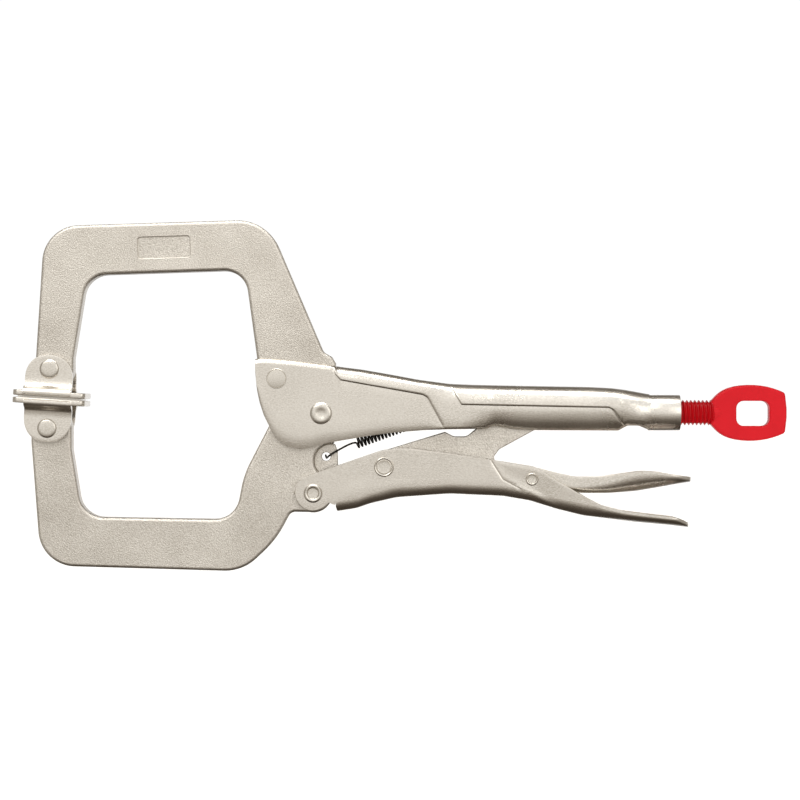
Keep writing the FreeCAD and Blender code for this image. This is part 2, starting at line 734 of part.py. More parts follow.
# ---- pads ---------------------------------------------------------------------------------------
def make_pad(label, pivot_x, pivot_z, side):
    """One swivel pad, drawn about its rivet; side is +1 over the work and -1 under it."""
    body = new_body(label, pivot_x, pivot_z)
    turn = FreeCAD.Rotation(FreeCAD.Vector(0, 1, 0), pad_tilt.value)
    body.Placement = FreeCAD.Placement(FreeCAD.Vector(pivot_x.value, 0, pivot_z.value), turn)
    body.setExpression("Placement.Rotation.Angle", pad_tilt.text)
    lean = math.radians(pad_tilt.value)
    lean_cos = Size(math.cos(lean), "cos(dims.pad_tilt * 1 deg)")
    lean_sin = Size(math.sin(lean), "sin(dims.pad_tilt * 1 deg)")
    reach = (pivot_z * lean_cos + pivot_x * lean_sin) * side
    shift = pivot_z * lean_sin - pivot_x * lean_cos
    face = (pad_gap / 2 - reach) * side
    back = (pad_gap / 2 + sheet_pad - reach) * side
    half = pad_long / 2
    crest = ear_rise * side
    inner = slot + pad_side_gap * 2
    outer = inner + sheet_pad * 1.6
    add_plate(
        body,
        "ears",
        [
            (-ear_half, back),
            (-ear_half, face * 0.45),
            (-ear_half * 0.55, crest),
            (ear_half * 0.55, crest),
            (ear_half, face * 0.45),
            (ear_half, back),
        ],
        outer,
    )
    round_corners(body, [(-ear_half * 0.55, crest), (ear_half * 0.55, crest)], 5.0, "ear_round")
    sketch_far = [
        (-ear_half - 2, back),
        (-ear_half - 2, crest * 3),
        (ear_half + 2, crest * 3),
        (ear_half + 2, back),
    ]
    cut_outline(body, "fork", sketch_far, inner)
    add_plate(body, "face", [(shift - half, face), (shift + half, face), (shift + half, back),
                             (shift - half, back)], pad_deep)
    cut_hole(body, "pin_hole", as_size(0), as_size(0), pad_pin)
    return body


# ---- rivets -------------------------------------------------------------------------------------
def make_rivet(label, x, z, pin_radius, head_radius, grip):
    """A rivet along Y with a domed, dished head at each end of its grip."""
    body = new_body(label, x, z)
    sketch = new_sketch(body, "XY_Plane", "section")
    half = grip / 2
    top = half + head_proud
    draw_outline(
        sketch,
        [
            (0, -top + 0.3),
            (head_radius * 0.55, -top),
            (head_radius * 0.8, -top),
            (head_radius, -half - head_proud * 0.35),
            (head_radius, -half),
            (pin_radius, -half),
            (pin_radius, half),
            (head_radius, half),
            (head_radius, half + head_proud * 0.35),
            (head_radius * 0.8, top),
            (head_radius * 0.55, top),
            (0, top - 0.3),
        ],
    )
    turned = feature(body, "PartDesign::Revolution", "turned", sketch)
    turned.ReferenceAxis = (sketch, ["V_Axis"])
    turned.Angle = 360
    doc.recompute()
    return body


def make_flush_rivet():
    body = new_body("fixed_jaw_rivet", lock_x, lock_z)
    add_disc(body, "slug", as_size(0), as_size(0), lock_pin, upper_width)
    return body


# ---- spring -------------------------------------------------------------------------------------
def rod_between(start, end, radius):
    """A straight round rod from one point to another, of sizes from the sheet."""
    ends = [FreeCAD.Vector(*(as_size(number).value for number in point)) for point in (start, end)]
    run = ends[1] - ends[0]
    return Part.makeCylinder(radius.value, run.Length, ends[0], run)


def make_spring():
    """The coil as one closed tube, its front leg in the tab's hole and its rear leg on the post."""
    front = (coil_front_x, 0, coil_front_z)
    rear = (coil_rear_x, 0, coil_rear_z)
    coil = rod_between(front, rear, coil_radius)
    hollow = rod_between(front, rear, coil_radius - wire_radius * 2)
    tube = coil.cut(hollow)
    side = tab_thick / 2 + wire_radius + 0.2
    hook_x, hook_z = spring_hole_x + 0.9, spring_hole_z + 0.1
    bend = (coil_front_x - 1.9, -side, coil_front_z - 0.7)
    pieces = [
        rod_between((hook_x, -side - wire_radius * 0.9, hook_z), (hook_x, side, hook_z), wire_radius),
        rod_between((hook_x, -side, hook_z), bend, wire_radius),
        rod_between(bend, (coil_front_x + 0.3, -coil_radius + wire_radius, coil_front_z),
                    wire_radius),
        rod_between((coil_rear_x - 0.3, coil_radius - wire_radius, coil_rear_z),
                    (anchor_x, coil_radius - wire_radius, anchor_z + anchor_radius + wire_radius + 0.7),
                    wire_radius),
    ]
    solid = tube
    for piece in pieces:
        solid = solid.fuse(piece)
    item = doc.addObject("Part::Feature", "tension_spring")
    item.Label = "tension_spring"
    item.Shape = solid
    item.Placement = FreeCAD.Placement()
    bodies.append(item)
    return item


# ---- the whole clamp ----------------------------------------------------------------------------
make_upper_handle()
make_fixed_jaw()
make_flush_rivet()
make_rivet("main_pivot_rivet", main_x, main_z, main_pin, main_head, upper_width)
make_movable_jaw()
make_lower_handle()
make_rivet("knee_rivet", knee_x, knee_z, knee_pin, knee_head, lower_width)
make_rivet("toggle_rivet", toggle_x, toggle_z, toggle_pin, toggle_head, lower_width)
make_rivet("lever_rivet", lever_x, lever_z, lever_pin, lever_head, lower_width)
make_toggle_link()
make_release_lever()
make_screw()
make_pad("upper_pad", pad_up_x, pad_up_z, 1)
make_pad("lower_pad", pad_low_x, pad_low_z, -1)
pad_grip = slot + pad_side_gap * 2 + sheet_pad * 1.6
make_rivet("upper_pad_rivet", pad_up_x, pad_up_z, pad_pin, pad_head, pad_grip)
make_rivet("lower_pad_rivet", pad_low_x, pad_low_z, pad_pin, pad_head, pad_grip)
make_spring()
doc.recompute()

for item in doc.Objects:
    if "Invalid" in item.State or "Error" in item.State:
        raise ValueError(f"{item.Name} ({item.Label}) failed: {item.State}")
for body in bodies:
    shape = body.Shape
    if shape.isNull() or not shape.isValid() or len(shape.Solids) != 1:
        raise ValueError(f"{body.Label}: {len(shape.Solids)} solids, valid {shape.isValid()}")

os.makedirs("parts", exist_ok=True)
for body in bodies:
    body.Shape.exportStep(f"parts/{body.Label}.step")
    box = body.Shape.BoundBox
    print(f"{body.Label}: {body.Shape.Volume:.0f} mm3, x {box.XMin:.1f} to {box.XMax:.1f}, "
          f"y {box.YMin:.1f} to {box.YMax:.1f}, z {box.ZMin:.1f} to {box.ZMax:.1f}")
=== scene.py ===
# %% [markdown]
# # A locking C-clamp, piece by piece
# A locking C-clamp holds two plates together while they are welded. Two forged jaws carry swivel pads,
# two pressed steel handles work them, and a red screw at the back sets the opening. This lesson keeps the
# engineering model as a fixed frame and gives each of its pieces the shape and the finish that the eye sees.

# %% Load the frame
import math

import bpy
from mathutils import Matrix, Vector


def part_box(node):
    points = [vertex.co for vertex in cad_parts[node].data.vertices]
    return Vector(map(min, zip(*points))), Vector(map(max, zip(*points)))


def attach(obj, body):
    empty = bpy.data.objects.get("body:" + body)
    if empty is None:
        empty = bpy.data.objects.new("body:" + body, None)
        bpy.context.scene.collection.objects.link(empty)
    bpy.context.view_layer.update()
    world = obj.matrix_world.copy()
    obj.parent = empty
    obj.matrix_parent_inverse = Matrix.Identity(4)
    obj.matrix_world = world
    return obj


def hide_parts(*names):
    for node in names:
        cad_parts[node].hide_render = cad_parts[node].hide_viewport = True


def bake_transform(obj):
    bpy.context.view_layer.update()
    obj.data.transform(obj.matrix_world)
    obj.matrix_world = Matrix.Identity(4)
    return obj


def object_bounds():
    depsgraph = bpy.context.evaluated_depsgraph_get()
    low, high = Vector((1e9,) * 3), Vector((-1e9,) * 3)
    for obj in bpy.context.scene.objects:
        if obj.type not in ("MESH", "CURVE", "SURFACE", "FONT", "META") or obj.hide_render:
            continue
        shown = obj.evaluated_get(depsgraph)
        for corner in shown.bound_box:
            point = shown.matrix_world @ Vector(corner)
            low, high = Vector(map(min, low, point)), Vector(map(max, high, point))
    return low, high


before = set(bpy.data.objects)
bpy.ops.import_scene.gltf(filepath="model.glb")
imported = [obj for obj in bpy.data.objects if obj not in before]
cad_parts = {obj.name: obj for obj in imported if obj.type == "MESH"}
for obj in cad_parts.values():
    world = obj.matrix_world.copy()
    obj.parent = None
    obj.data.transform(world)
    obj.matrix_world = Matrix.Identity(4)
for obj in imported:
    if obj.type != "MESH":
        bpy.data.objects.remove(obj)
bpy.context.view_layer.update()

# %% [markdown]
# ## Camera
# The clamp is shown square from its side, so the camera stands level with the closed pads and looks along
# +Y. It stands a metre away: near enough to show a little of the frame's inner faces. A pinhole camera
# works with similar triangles: width of the view = distance x sensor / lens. The distance counts to the
# clamp's near faces, because their outlines are the ones that the eye follows.

# %% Camera
VIEW_WIDTH = 0.300
VIEW_DISTANCE = 1.0
NEAR_FACES = 0.006
SENSOR = 36.0
VIEW_CENTRE = Vector((0.1313, -NEAR_FACES, -0.0008))

lens = bpy.data.cameras.new("side_camera")
lens.sensor_width = SENSOR
lens.lens = SENSOR * VIEW_DISTANCE / VIEW_WIDTH
camera = bpy.data.objects.new("side_camera", lens)
bpy.context.scene.collection.objects.link(camera)
camera.location = VIEW_CENTRE - Vector((0.0, VIEW_DISTANCE, 0.0))
camera.rotation_euler = (math.radians(90), 0, 0)
bpy.context.scene.camera = camera
bpy.context.scene.view_settings.view_transform = "Standard"
print("lens:", round(lens.lens, 1), "mm")

# %% [markdown]
# ## Working by hand, from code
# Every piece below starts as a primitive, is shaped in edit mode, and is finished with modifiers that are
# applied. An operator acts on all that is selected, so each piece starts from a clean selection. Sizes are
# written in millimetres, as on a drawing, and turned to metres in one place.

# %% Helpers for the hand work
MM = 0.001


def middle_of(node):
    """Middle of a frame node's box seen from the side: x and z in mm."""
    low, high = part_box(node)
    middle = (low + high) / (2 * MM)
    return round(middle.x, 1), round(middle.z, 1)


def half_of(node):
    """Half the node's thickness, in mm."""
    return round(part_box(node)[1].y / MM, 2)


def clear_selection():
    """Back to object mode with nothing selected."""
    if bpy.context.object and bpy.context.object.mode != "OBJECT":
        bpy.ops.object.mode_set(mode="OBJECT")
    bpy.ops.object.select_all(action="DESELECT")


def work_on(piece):
    """Make this piece the only selected and the active one."""
    clear_selection()
    piece.select_set(True)
    bpy.context.view_layer.objects.active = piece


def begin(kind, name, **settings):
    """Add a mesh primitive of that kind and name it."""
    clear_selection()
    getattr(bpy.ops.mesh, f"primitive_{kind}_add")(**settings)
    piece = bpy.context.object
    piece.name = name
    piece.data.name = name
    return piece


def settle(piece):
    """Put the piece's place, turn and size into its mesh."""
    work_on(piece)
    bpy.ops.object.transform_apply(location=True, rotation=True, scale=True)


def apply(piece, kind, **settings):
    """Add a modifier with these settings and apply it."""
    work_on(piece)
    modifier = piece.modifiers.new(kind.title(), kind)
    for key, value in settings.items():
        setattr(modifier, key, value)
    bpy.ops.object.modifier_apply(modifier=modifier.name)


def smooth(piece, angle=35):
    """Smooth shading that stays crisp at edges sharper than the angle."""
    work_on(piece)
    bpy.ops.object.shade_smooth_by_angle(angle=math.radians(angle))


def pick(piece, mode, test):
    """In edit mode, select the faces, edges or vertices that pass the test, and nothing else."""
    work_on(piece)
    bpy.ops.object.mode_set(mode="EDIT")
    bpy.ops.mesh.select_mode(type=mode)
    bpy.ops.mesh.select_all(action="DESELECT")
    bpy.ops.object.mode_set(mode="OBJECT")
    mesh = piece.data
    items = {"FACE": mesh.polygons, "EDGE": mesh.edges, "VERT": mesh.vertices}[mode]
    count = 0
    for item in items:
        item.select = bool(test(mesh, item))
        count += item.select
    bpy.ops.object.mode_set(mode="EDIT")
    return count


def edit_all(piece):
    """Edit mode with the whole mesh selected."""
    work_on(piece)
    bpy.ops.object.mode_set(mode="EDIT")
    bpy.ops.mesh.select_all(action="SELECT")


def close_up(piece):
    """Merge doubles and turn all faces outwards, for a closed mesh."""
    edit_all(piece)
    bpy.ops.mesh.remove_doubles(threshold=1e-6)
    bpy.ops.mesh.normals_make_consistent(inside=False)
    bpy.ops.object.mode_set(mode="OBJECT")


def join(main, *others):
    """One piece from several."""
    work_on(main)
    for piece in others:
        piece.select_set(True)
    bpy.ops.object.join()
    return main


print("main pivot at", middle_of("main_pivot_rivet"), "mm, jaw", 2 * half_of("movable_jaw"), "mm thick")

# %% [markdown]
# ## Reading a drawn line
# Pressed handles are drawn as a few smooth lines: the crown, the rim, the press lines. A line is a short
# list of points, read straight between them, and softened over a small reach so that the steel bends
# instead of kinking.

# %% Lines and ramps


def read(line, x):
    """Height of a drawn line at x, straight between its points and level past its ends."""
    if x <= line[0][0]:
        return line[0][1]
    for (x0, z0), (x1, z1) in zip(line, line[1:]):
        if x <= x1:
            return z0 + (z1 - z0) * (x - x0) / (x1 - x0)
    return line[-1][1]


def soft(line, x, reach=1.5):
    """The same line, averaged over the reach."""
    steps = (-1.0, -0.6, -0.25, 0.0, 0.25, 0.6, 1.0)
    low, high = line[0][0], line[-1][0]
    return sum(read(line, min(max(x + reach * s, low), high)) for s in steps) / len(steps)


def ramp(low, high, x):
    """0 below low, 1 above high and smooth between."""
    t = min(max((x - low) / (high - low), 0.0), 1.0)
    return t * t * (3 - 2 * t)


def rounded_tip(x, start, end):
    """Share of the width that is left where a tip rounds off between start and end."""
    return math.sqrt(1.0 - min(max((x - start) / (end - start), 0.0), 0.97) ** 2.5)


def past_line(line, x, z):
    """Distance from a falling press line, positive above it and behind its end."""
    away = 1e9
    here = Vector((x, z))
    for a, b in zip(line, line[1:]):
        start, run = Vector(a), Vector(b) - Vector(a)
        share = min(max((here - start).dot(run) / run.length_squared, 0.0), 1.0)
        away = min(away, (here - start - run * share).length)
    beyond = x > line[-1][0] or (x >= line[0][0] and z > read(line, x))
    return away if beyond else -away


def spread(*runs):
    """Stations along X: each run is (start, end, step)."""
    places = []
    for start, end, step in runs:
        count = max(1, round((end - start) / step))
        places += [start + (end - start) * n / count for n in range(count)]
    return places + [runs[-1][1]]


print("a softened corner 2 mm high:", [round(soft([(0, 0), (2, 2), (4, 0)], x), 2) for x in range(5)])

# %% [markdown]
# ## Sheet metal from sections
# A handle is a strip of sheet bent to a channel whose section changes all along it. By hand it would be a
# grid whose columns are moved, one after the other, onto the sections of the real channel, and then given
# the sheet's thickness by a Solidify modifier. The same is done here: a grid primitive with one column for
# each section, the columns moved to the sections, Solidify inwards, and a small bevel on the rims.

# %% A channel from a grid


def channel(name, sections):
    """A grid with one column a section, each column moved to its section's points."""
    rows = len(sections[0])
    piece = begin("grid", name, x_subdivisions=len(sections) - 1, y_subdivisions=rows - 1, size=1)
    points = piece.data.vertices
    if len(points) != rows * len(sections):
        raise ValueError(f"{name}: the grid has {len(points)} points")
    for index, point in enumerate(points):
        x, y, z = sections[index % len(sections)][index // len(sections)]
        point.co = (x * MM, y * MM, z * MM)
    piece.data.update()
    return piece


def open_up(piece, test):
    """Delete the faces whose centre, in mm, passes the test."""
    pick(piece, "FACE", lambda mesh, face: test(*(face.center / MM)))
    bpy.ops.mesh.delete(type="FACE")
    bpy.ops.object.mode_set(mode="OBJECT")


def break_edges(piece, width, segments, angle, clamp=True):
    """Bevel the edges sharper than the angle; the width is in mm."""
    apply(piece, "BEVEL", width=width * MM, segments=segments, limit_method="ANGLE",
          angle_limit=math.radians(angle), use_clamp_overlap=clamp)


def thicken(piece, sheet, rim):
    """Give the sheet its thickness, inwards, and break its rims."""
    apply(piece, "SOLIDIFY", thickness=sheet * MM, offset=-1.0)
    break_edges(piece, rim, segments=2, angle=75)
    smooth(piece, 40)


# %% [markdown]
# ## Finishes: how a material is built
# A colour is written as an sRGB hex value, the way a paint chart gives it, and turned to linear light by
# one function. One small function adds a node, sets its inputs and links it. Pattern sizes are real sizes
# in millimetres, because Object coordinates are metres on the real piece.

# %% Colour and node helpers


def linear(code):
    """sRGB hex to linear RGBA."""
    channels = [int(code[n:n + 2], 16) / 255 for n in (1, 3, 5)]
    return (*(c / 12.92 if c <= 0.04045 else ((c + 0.055) / 1.055) ** 2.4 for c in channels), 1.0)


def per_mm(size):
    """Texture scale whose features are about this many millimetres across."""
    return 1.0 / (size * MM)


def add(tree, kind, inputs=None, **settings):
    """Add a node; an input is a value for its socket, or another node's output to link."""
    node = tree.nodes.new(kind)
    for key, value in settings.items():
        setattr(node, key, value)
    for key, value in (inputs or {}).items():
        socket = node.inputs[key]
        if isinstance(value, bpy.types.NodeSocket):
            tree.links.new(value, socket)
        else:
            socket.default_value = value
    return node


def new_finish(name):
    """An empty node material, its node tree and the place on the piece that its patterns read."""
    finish = bpy.data.materials.new(name)
    finish.use_nodes = True
    tree = finish.node_tree
    tree.nodes.clear()
    return finish, tree, add(tree, "ShaderNodeTexCoord").outputs["Object"]


def wear(piece, finish):
    """Give the piece this finish only."""
    piece.data.materials.clear()
    piece.data.materials.append(finish)


def hand_over(piece, finish, body, node):
    """Finish the piece and let it ride on its body in place of the frame's node."""
    wear(piece, finish)
    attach(piece, body)
    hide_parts(node)
    print(piece.name, "rides on", body, "with", len(piece.data.polygons), "faces")


print("a mid grey, #808080, in linear light:", round(linear("#808080")[0], 3))

# %% [markdown]
# ## Nickel plate on forged and on pressed steel
# The jaws are drop forged, shot blasted and nickel plated: the blasted skin stays under the thin plate, so
# they are pebbled and nearly matt. The handles are pressed from cold rolled sheet and plated the same, so
# they are smoother, with long soft streaks from rolling. Nickel is a warm light grey. The pebbles are a few
# tenths of a millimetre on the real piece and are drawn a little coarser, so that they show.

# %% Nickel finishes


def nickel(name, light, dark, grain, relief, rough, streak=1.0):
    """Nickel plate: two close greys, a grain of that size and relief in mm, and a range of roughness."""
    finish, tree, place = new_finish(name)
    stretch = add(tree, "ShaderNodeMapping", {"Vector": place, "Scale": (1.0 / streak, 1.0, 1.0)})
    pebbles = add(tree, "ShaderNodeTexNoise", {"Vector": stretch.outputs["Vector"], "Scale": per_mm(grain),
                                               "Detail": 3.0, "Roughness": 0.6})
    clouds = add(tree, "ShaderNodeTexNoise", {"Vector": place, "Scale": per_mm(18.0), "Detail": 2.0})
    both = add(tree, "ShaderNodeMath", {0: clouds.outputs["Fac"], 1: 0.4, 2: pebbles.outputs["Fac"]},
               operation="MULTIPLY_ADD")
    share = add(tree, "ShaderNodeMapRange",
                {"Value": both.outputs["Value"], "From Min": 0.48, "From Max": 0.92})
    colour = add(tree, "ShaderNodeMix", {"Factor": share.outputs["Result"], "A": linear(dark),
                                         "B": linear(light)}, data_type="RGBA")
    gloss = add(tree, "ShaderNodeMapRange",
                {"Value": clouds.outputs["Fac"], "From Min": 0.3, "From Max": 0.7,
                 "To Min": rough[0], "To Max": rough[1]})
    bump = add(tree, "ShaderNodeBump",
               {"Height": pebbles.outputs["Fac"], "Distance": relief * MM, "Strength": 1.0})
    shader = add(tree, "ShaderNodeBsdfPrincipled",
                 {"Base Color": colour.outputs["Result"], "Metallic": 1.0,
                  "Roughness": gloss.outputs["Result"], "Normal": bump.outputs["Normal"]})
    add(tree, "ShaderNodeOutputMaterial", {"Surface": shader.outputs["BSDF"]})
    return finish


FORGED_NICKEL = nickel("forged_steel_blasted_nickel_plate", "#F2EDE5", "#C2BBB1", 0.46, 0.17, (0.36, 0.44))
SHEET_NICKEL = nickel("pressed_steel_nickel_plate", "#ECE7DF", "#D5CFC6", 0.5, 0.06, (0.24, 0.31), streak=1.6)
RIVET_NICKEL = nickel("headed_rivet_nickel_plate", "#E8E3DB", "#D1CBC1", 0.45, 0.04, (0.24, 0.3))
print("nickel finishes:", FORGED_NICKEL.name, SHEET_NICKEL.name, RIVET_NICKEL.name)

# %% [markdown]
# ## Red coat on the adjusting screw
# The screw and its key head are one steel piece under a bright red, slightly soft gloss coat. The coat
# follows a faintly uneven casting, so it has a low, wide ripple. On the thread the coat is glossier, and its
# red is a darker copy of the key's: painted shade for the shade that falls between the turns.

# %% Red coat


def red_coat(name, light, dark, rough, gloss):
    """Red paint on steel, between two close reds, with its roughness and specular level."""
    finish, tree, place = new_finish(name)
    peel = add(tree, "ShaderNodeTexNoise", {"Vector": place, "Scale": per_mm(1.1), "Detail": 2.0})
    tone = add(tree, "ShaderNodeTexNoise", {"Vector": place, "Scale": per_mm(7.0), "Detail": 2.0})
    colour = add(tree, "ShaderNodeMix", {"Factor": tone.outputs["Fac"], "A": linear(dark),
                                         "B": linear(light)}, data_type="RGBA")
    bump = add(tree, "ShaderNodeBump",
               {"Height": peel.outputs["Fac"], "Distance": 0.03 * MM, "Strength": 1.0})
    shader = add(tree, "ShaderNodeBsdfPrincipled",
                 {"Base Color": colour.outputs["Result"], "Roughness": rough,
                  "Specular IOR Level": gloss, "Normal": bump.outputs["Normal"]})
    add(tree, "ShaderNodeOutputMaterial", {"Surface": shader.outputs["BSDF"]})
    return finish


RED_COAT = red_coat("red_enamel_on_cast_steel", "#C60A1A", "#B60615", 0.4, 0.2)
# Painted shade: the thread's red is darker than the key's, standing in for the shade between its turns.
SHADED_THREAD_COAT = red_coat("red_enamel_painted_darker_on_thread", "#B3000C", "#960009", 0.3, 0.3)
print("red coats:", RED_COAT.name, SHADED_THREAD_COAT.name)

# %% [markdown]
# ## Blackened spring wire
# Music wire that was oil blackened after winding is nearly black, with a thin bright line where it
# catches the light. Draw marks run along the wire and are too fine to see, so a soft mottle stands in.

# %% Spring wire finish


def black_wire(name):
    """Oil blackened steel wire."""
    finish, tree, place = new_finish(name)
    mottle = add(tree, "ShaderNodeTexNoise", {"Vector": place, "Scale": per_mm(0.8), "Detail": 2.0})
    colour = add(tree, "ShaderNodeMix", {"Factor": mottle.outputs["Fac"], "A": linear("#15120F"),
                                         "B": linear("#3A342E")}, data_type="RGBA")
    shader = add(tree, "ShaderNodeBsdfPrincipled",
                 {"Base Color": colour.outputs["Result"], "Metallic": 0.8, "Roughness": 0.38})
    add(tree, "ShaderNodeOutputMaterial", {"Surface": shader.outputs["BSDF"]})
    return finish


BLACK_WIRE = black_wire("oil_blackened_music_wire")
print("spring finish:", BLACK_WIRE.name)

# %% [markdown]
# ## The forged jaws and the toggle link
# These three are thick plates with a drawn outline, and the frame already has that outline exactly, with
# its bores. What the forging adds is the rounded edge all round. So each one starts from a copy of the
# frame's node: its loose triangles are merged, one flat side is kept, and of that side only the outline.
# The outline is filled, extruded to the plate's thickness, and bevelled to the forging's edge radius.

# %% Forged plates


def drawn(name, points):
    """A plane merged to one point and extruded from place to place, in mm; it is left in edit mode."""
    piece = begin("plane", name, size=1 * MM)
    bpy.ops.object.mode_set(mode="EDIT")
    bpy.ops.mesh.select_mode(type="VERT")
    bpy.ops.mesh.select_all(action="SELECT")
    bpy.ops.mesh.merge(type="CENTER")
    bpy.ops.transform.translate(value=Vector(points[0]) * MM)
    for start, end in zip(points, points[1:]):
        step = (Vector(end) - Vector(start)) * MM
        bpy.ops.mesh.extrude_region_move(TRANSFORM_OT_translate={"value": step})
    return piece


def plate(name, outline, thick):
    """A flat plate of that outline about the middle plane."""
    piece = drawn(name, [(x, -thick / 2, z) for x, z in outline])
    bpy.ops.mesh.select_all(action="SELECT")
    bpy.ops.mesh.edge_face_add()
    bpy.ops.mesh.extrude_region_move(TRANSFORM_OT_translate={"value": (0, thick * MM, 0)})
    bpy.ops.object.mode_set(mode="OBJECT")
    close_up(piece)
    return piece


def forged_plate(name, node, half, edge, leave_out, holes=False):
    """A plate from the outline of the node's flat side at y = -half mm, with rounded edges.

    Lines where leave_out(x, y, z) is true are dropped. With holes, the inner loops that are left stay open.
    """
    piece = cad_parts[node].copy()
    piece.data = piece.data.copy()
    piece.name = name
    piece.data.name = name
    for key in list(piece.keys()):
        del piece[key]
    bpy.context.scene.collection.objects.link(piece)
    piece.parent = None
    # Of the merged triangles, only the loops round the near flat side stay.
    edit_all(piece)
    bpy.ops.mesh.remove_doubles(threshold=2e-6)
    pick(piece, "FACE", lambda mesh, face: face.normal.y < -0.99
         and abs(face.center.y + half * MM) < 2e-5)
    bpy.ops.mesh.region_to_loop()
    bpy.ops.mesh.select_all(action="INVERT")
    bpy.ops.mesh.delete(type="EDGE")
    bpy.ops.mesh.select_all(action="SELECT")
    bpy.ops.mesh.delete(type="ONLY_FACE")
    bpy.ops.mesh.select_all(action="SELECT")
    bpy.ops.mesh.delete_loose(use_verts=True, use_edges=False, use_faces=False)
    # The lines that the new plate doesn't need go too, and the rest is filled and extruded.
    pick(piece, "EDGE", lambda mesh, one: leave_out(*(mesh.vertices[one.vertices[0]].co / MM)))
    bpy.ops.mesh.delete(type="EDGE")
    bpy.ops.mesh.select_all(action="SELECT")
    bpy.ops.mesh.remove_doubles(threshold=0.05 * MM)
    bpy.ops.mesh.select_all(action="SELECT")
    if holes:
        bpy.ops.mesh.fill(use_beauty=True)
    else:
        bpy.ops.mesh.edge_face_add()
    bpy.ops.mesh.select_all(action="SELECT")
    bpy.ops.mesh.extrude_region_move(TRANSFORM_OT_translate={"value": (0, 2 * half * MM, 0)})
    bpy.ops.object.mode_set(mode="OBJECT")
    close_up(piece)
    break_edges(piece, edge, segments=4, angle=50, clamp=False)
    return piece


def even_shading(piece):
    """Smooth edges beside flats that stay flat: the large faces lead the normals."""
    smooth(piece, 50)
    apply(piece, "WEIGHTED_NORMAL", mode="FACE_AREA", weight=50, keep_sharp=True)


def bores(**holes):
    """A test that is true inside a radius in mm about each rivet, whose head hides the bore's line."""
    circles = [(*middle_of(rivet), radius) for rivet, radius in holes.items()]
    return lambda x, y, z: any(math.hypot(x - a, z - b) < radius for a, b, radius in circles)


# %% [markdown]
# ### Fixed jaw
# The bar of the fixed jaw has a shallow sunk panel with rounded corners. It is cut by a Boolean with a
# rounded plate, and the cut's sharp rim is bevelled, so that it catches a thin line of light.

# %% Fixed jaw
PANEL_X, PANEL_Z = 42.6, 56.6
PANEL_HALF_X, PANEL_HALF_Z, PANEL_CORNER = 9.8, 4.0, 1.1
PANEL_TILT = math.radians(1.8)
PANEL_DEPTH = 0.7
JAW_HALF = half_of("fixed_jaw")
jaw_bores = bores(upper_pad_rivet=4.4, fixed_jaw_rivet=4.6)


def rounded_box(x, z, half_x, half_z, corner):
    """Points of a rounded rectangle."""
    points = []
    for n, (sx, sz) in enumerate(((1, 1), (-1, 1), (-1, -1), (1, -1))):
        for step in range(7):
            angle = math.pi / 2 * (n + step / 6)
            points.append((x + sx * (half_x - corner) + corner * math.cos(angle),
                           z + sz * (half_z - corner) + corner * math.sin(angle)))
    return points


def cut(piece, cutter):
    """Take the cutter away from the piece by a Boolean, then drop the cutter."""
    apply(piece, "BOOLEAN", object=cutter, operation="DIFFERENCE", solver="EXACT")
    bpy.data.objects.remove(cutter)


def in_panel(x, y, z):
    """True in the panel and a little round it."""
    return abs(x - PANEL_X) < PANEL_HALF_X + 1.7 and abs(z - PANEL_Z) < PANEL_HALF_Z + 1.4


def panel_tilted(x, z, tilt):
    """The offset from the panel's middle to this place, turned by the tilt."""
    x, z = x - PANEL_X, z - PANEL_Z
    return x * math.cos(tilt) - z * math.sin(tilt), x * math.sin(tilt) + z * math.cos(tilt)


def panel_rim(mesh, one):
    """True for an edge of the cut's rim on the jaw's near face."""
    a, b = (mesh.vertices[n].co / MM for n in one.vertices)
    off_x, off_z = panel_tilted(a.x, a.z, -PANEL_TILT)
    on_rim = max(abs(off_x) - PANEL_HALF_X, abs(off_z) - PANEL_HALF_Z) > -0.4
    return on_rim and all(abs(p.y + JAW_HALF) < 0.01 and in_panel(*p) for p in (a, b))


fixed_jaw = forged_plate("fixed_jaw_forging", "fixed_jaw", JAW_HALF, 1.3,
                         lambda *place: in_panel(*place) or jaw_bores(*place))
panel_outline = [panel_tilted(x, z, PANEL_TILT)
                 for x, z in rounded_box(PANEL_X, PANEL_Z, PANEL_HALF_X, PANEL_HALF_Z, PANEL_CORNER)]
panel = plate("panel_cutter", [(PANEL_X + x, PANEL_Z + z) for x, z in panel_outline], 2.0)
panel.location.y = -(JAW_HALF + 1.0 - PANEL_DEPTH) * MM
settle(panel)
cut(fixed_jaw, panel)
print("panel:", pick(fixed_jaw, "EDGE", panel_rim), "edges")
bpy.ops.mesh.bevel(offset=0.28 * MM, segments=2, affect="EDGES", clamp_overlap=False)
bpy.ops.object.mode_set(mode="OBJECT")
even_shading(fixed_jaw)
hand_over(fixed_jaw, FORGED_NICKEL, "frame", "fixed_jaw")

# %% [markdown]
# ### Movable jaw and toggle link
# The movable jaw has a thinner lug for the spring's hook, so it is two plates of the same outline work, one
# inside the other. The toggle link is a flat blank with a small edge radius.

# %% Movable jaw and toggle link
SPRING_LUG_HALF = 2.0
pivot_bores = bores(main_pivot_rivet=4.4, knee_rivet=3.6, lower_pad_rivet=3.9)
forging = forged_plate("movable_jaw_forging", "movable_jaw", half_of("movable_jaw"), 1.2, pivot_bores)
spring_lug = forged_plate("spring_lug", "movable_jaw", SPRING_LUG_HALF, 0.35, pivot_bores, holes=True)
movable_jaw = join(forging, spring_lug)
even_shading(movable_jaw)
hand_over(movable_jaw, FORGED_NICKEL, "movable_jaw", "movable_jaw")
toggle_link = forged_plate("toggle_link_blank", "toggle_link", half_of("toggle_link"), 0.4,
                           bores(toggle_rivet=3.8))
even_shading(toggle_link)
hand_over(toggle_link, FORGED_NICKEL, "toggle_link", "toggle_link")

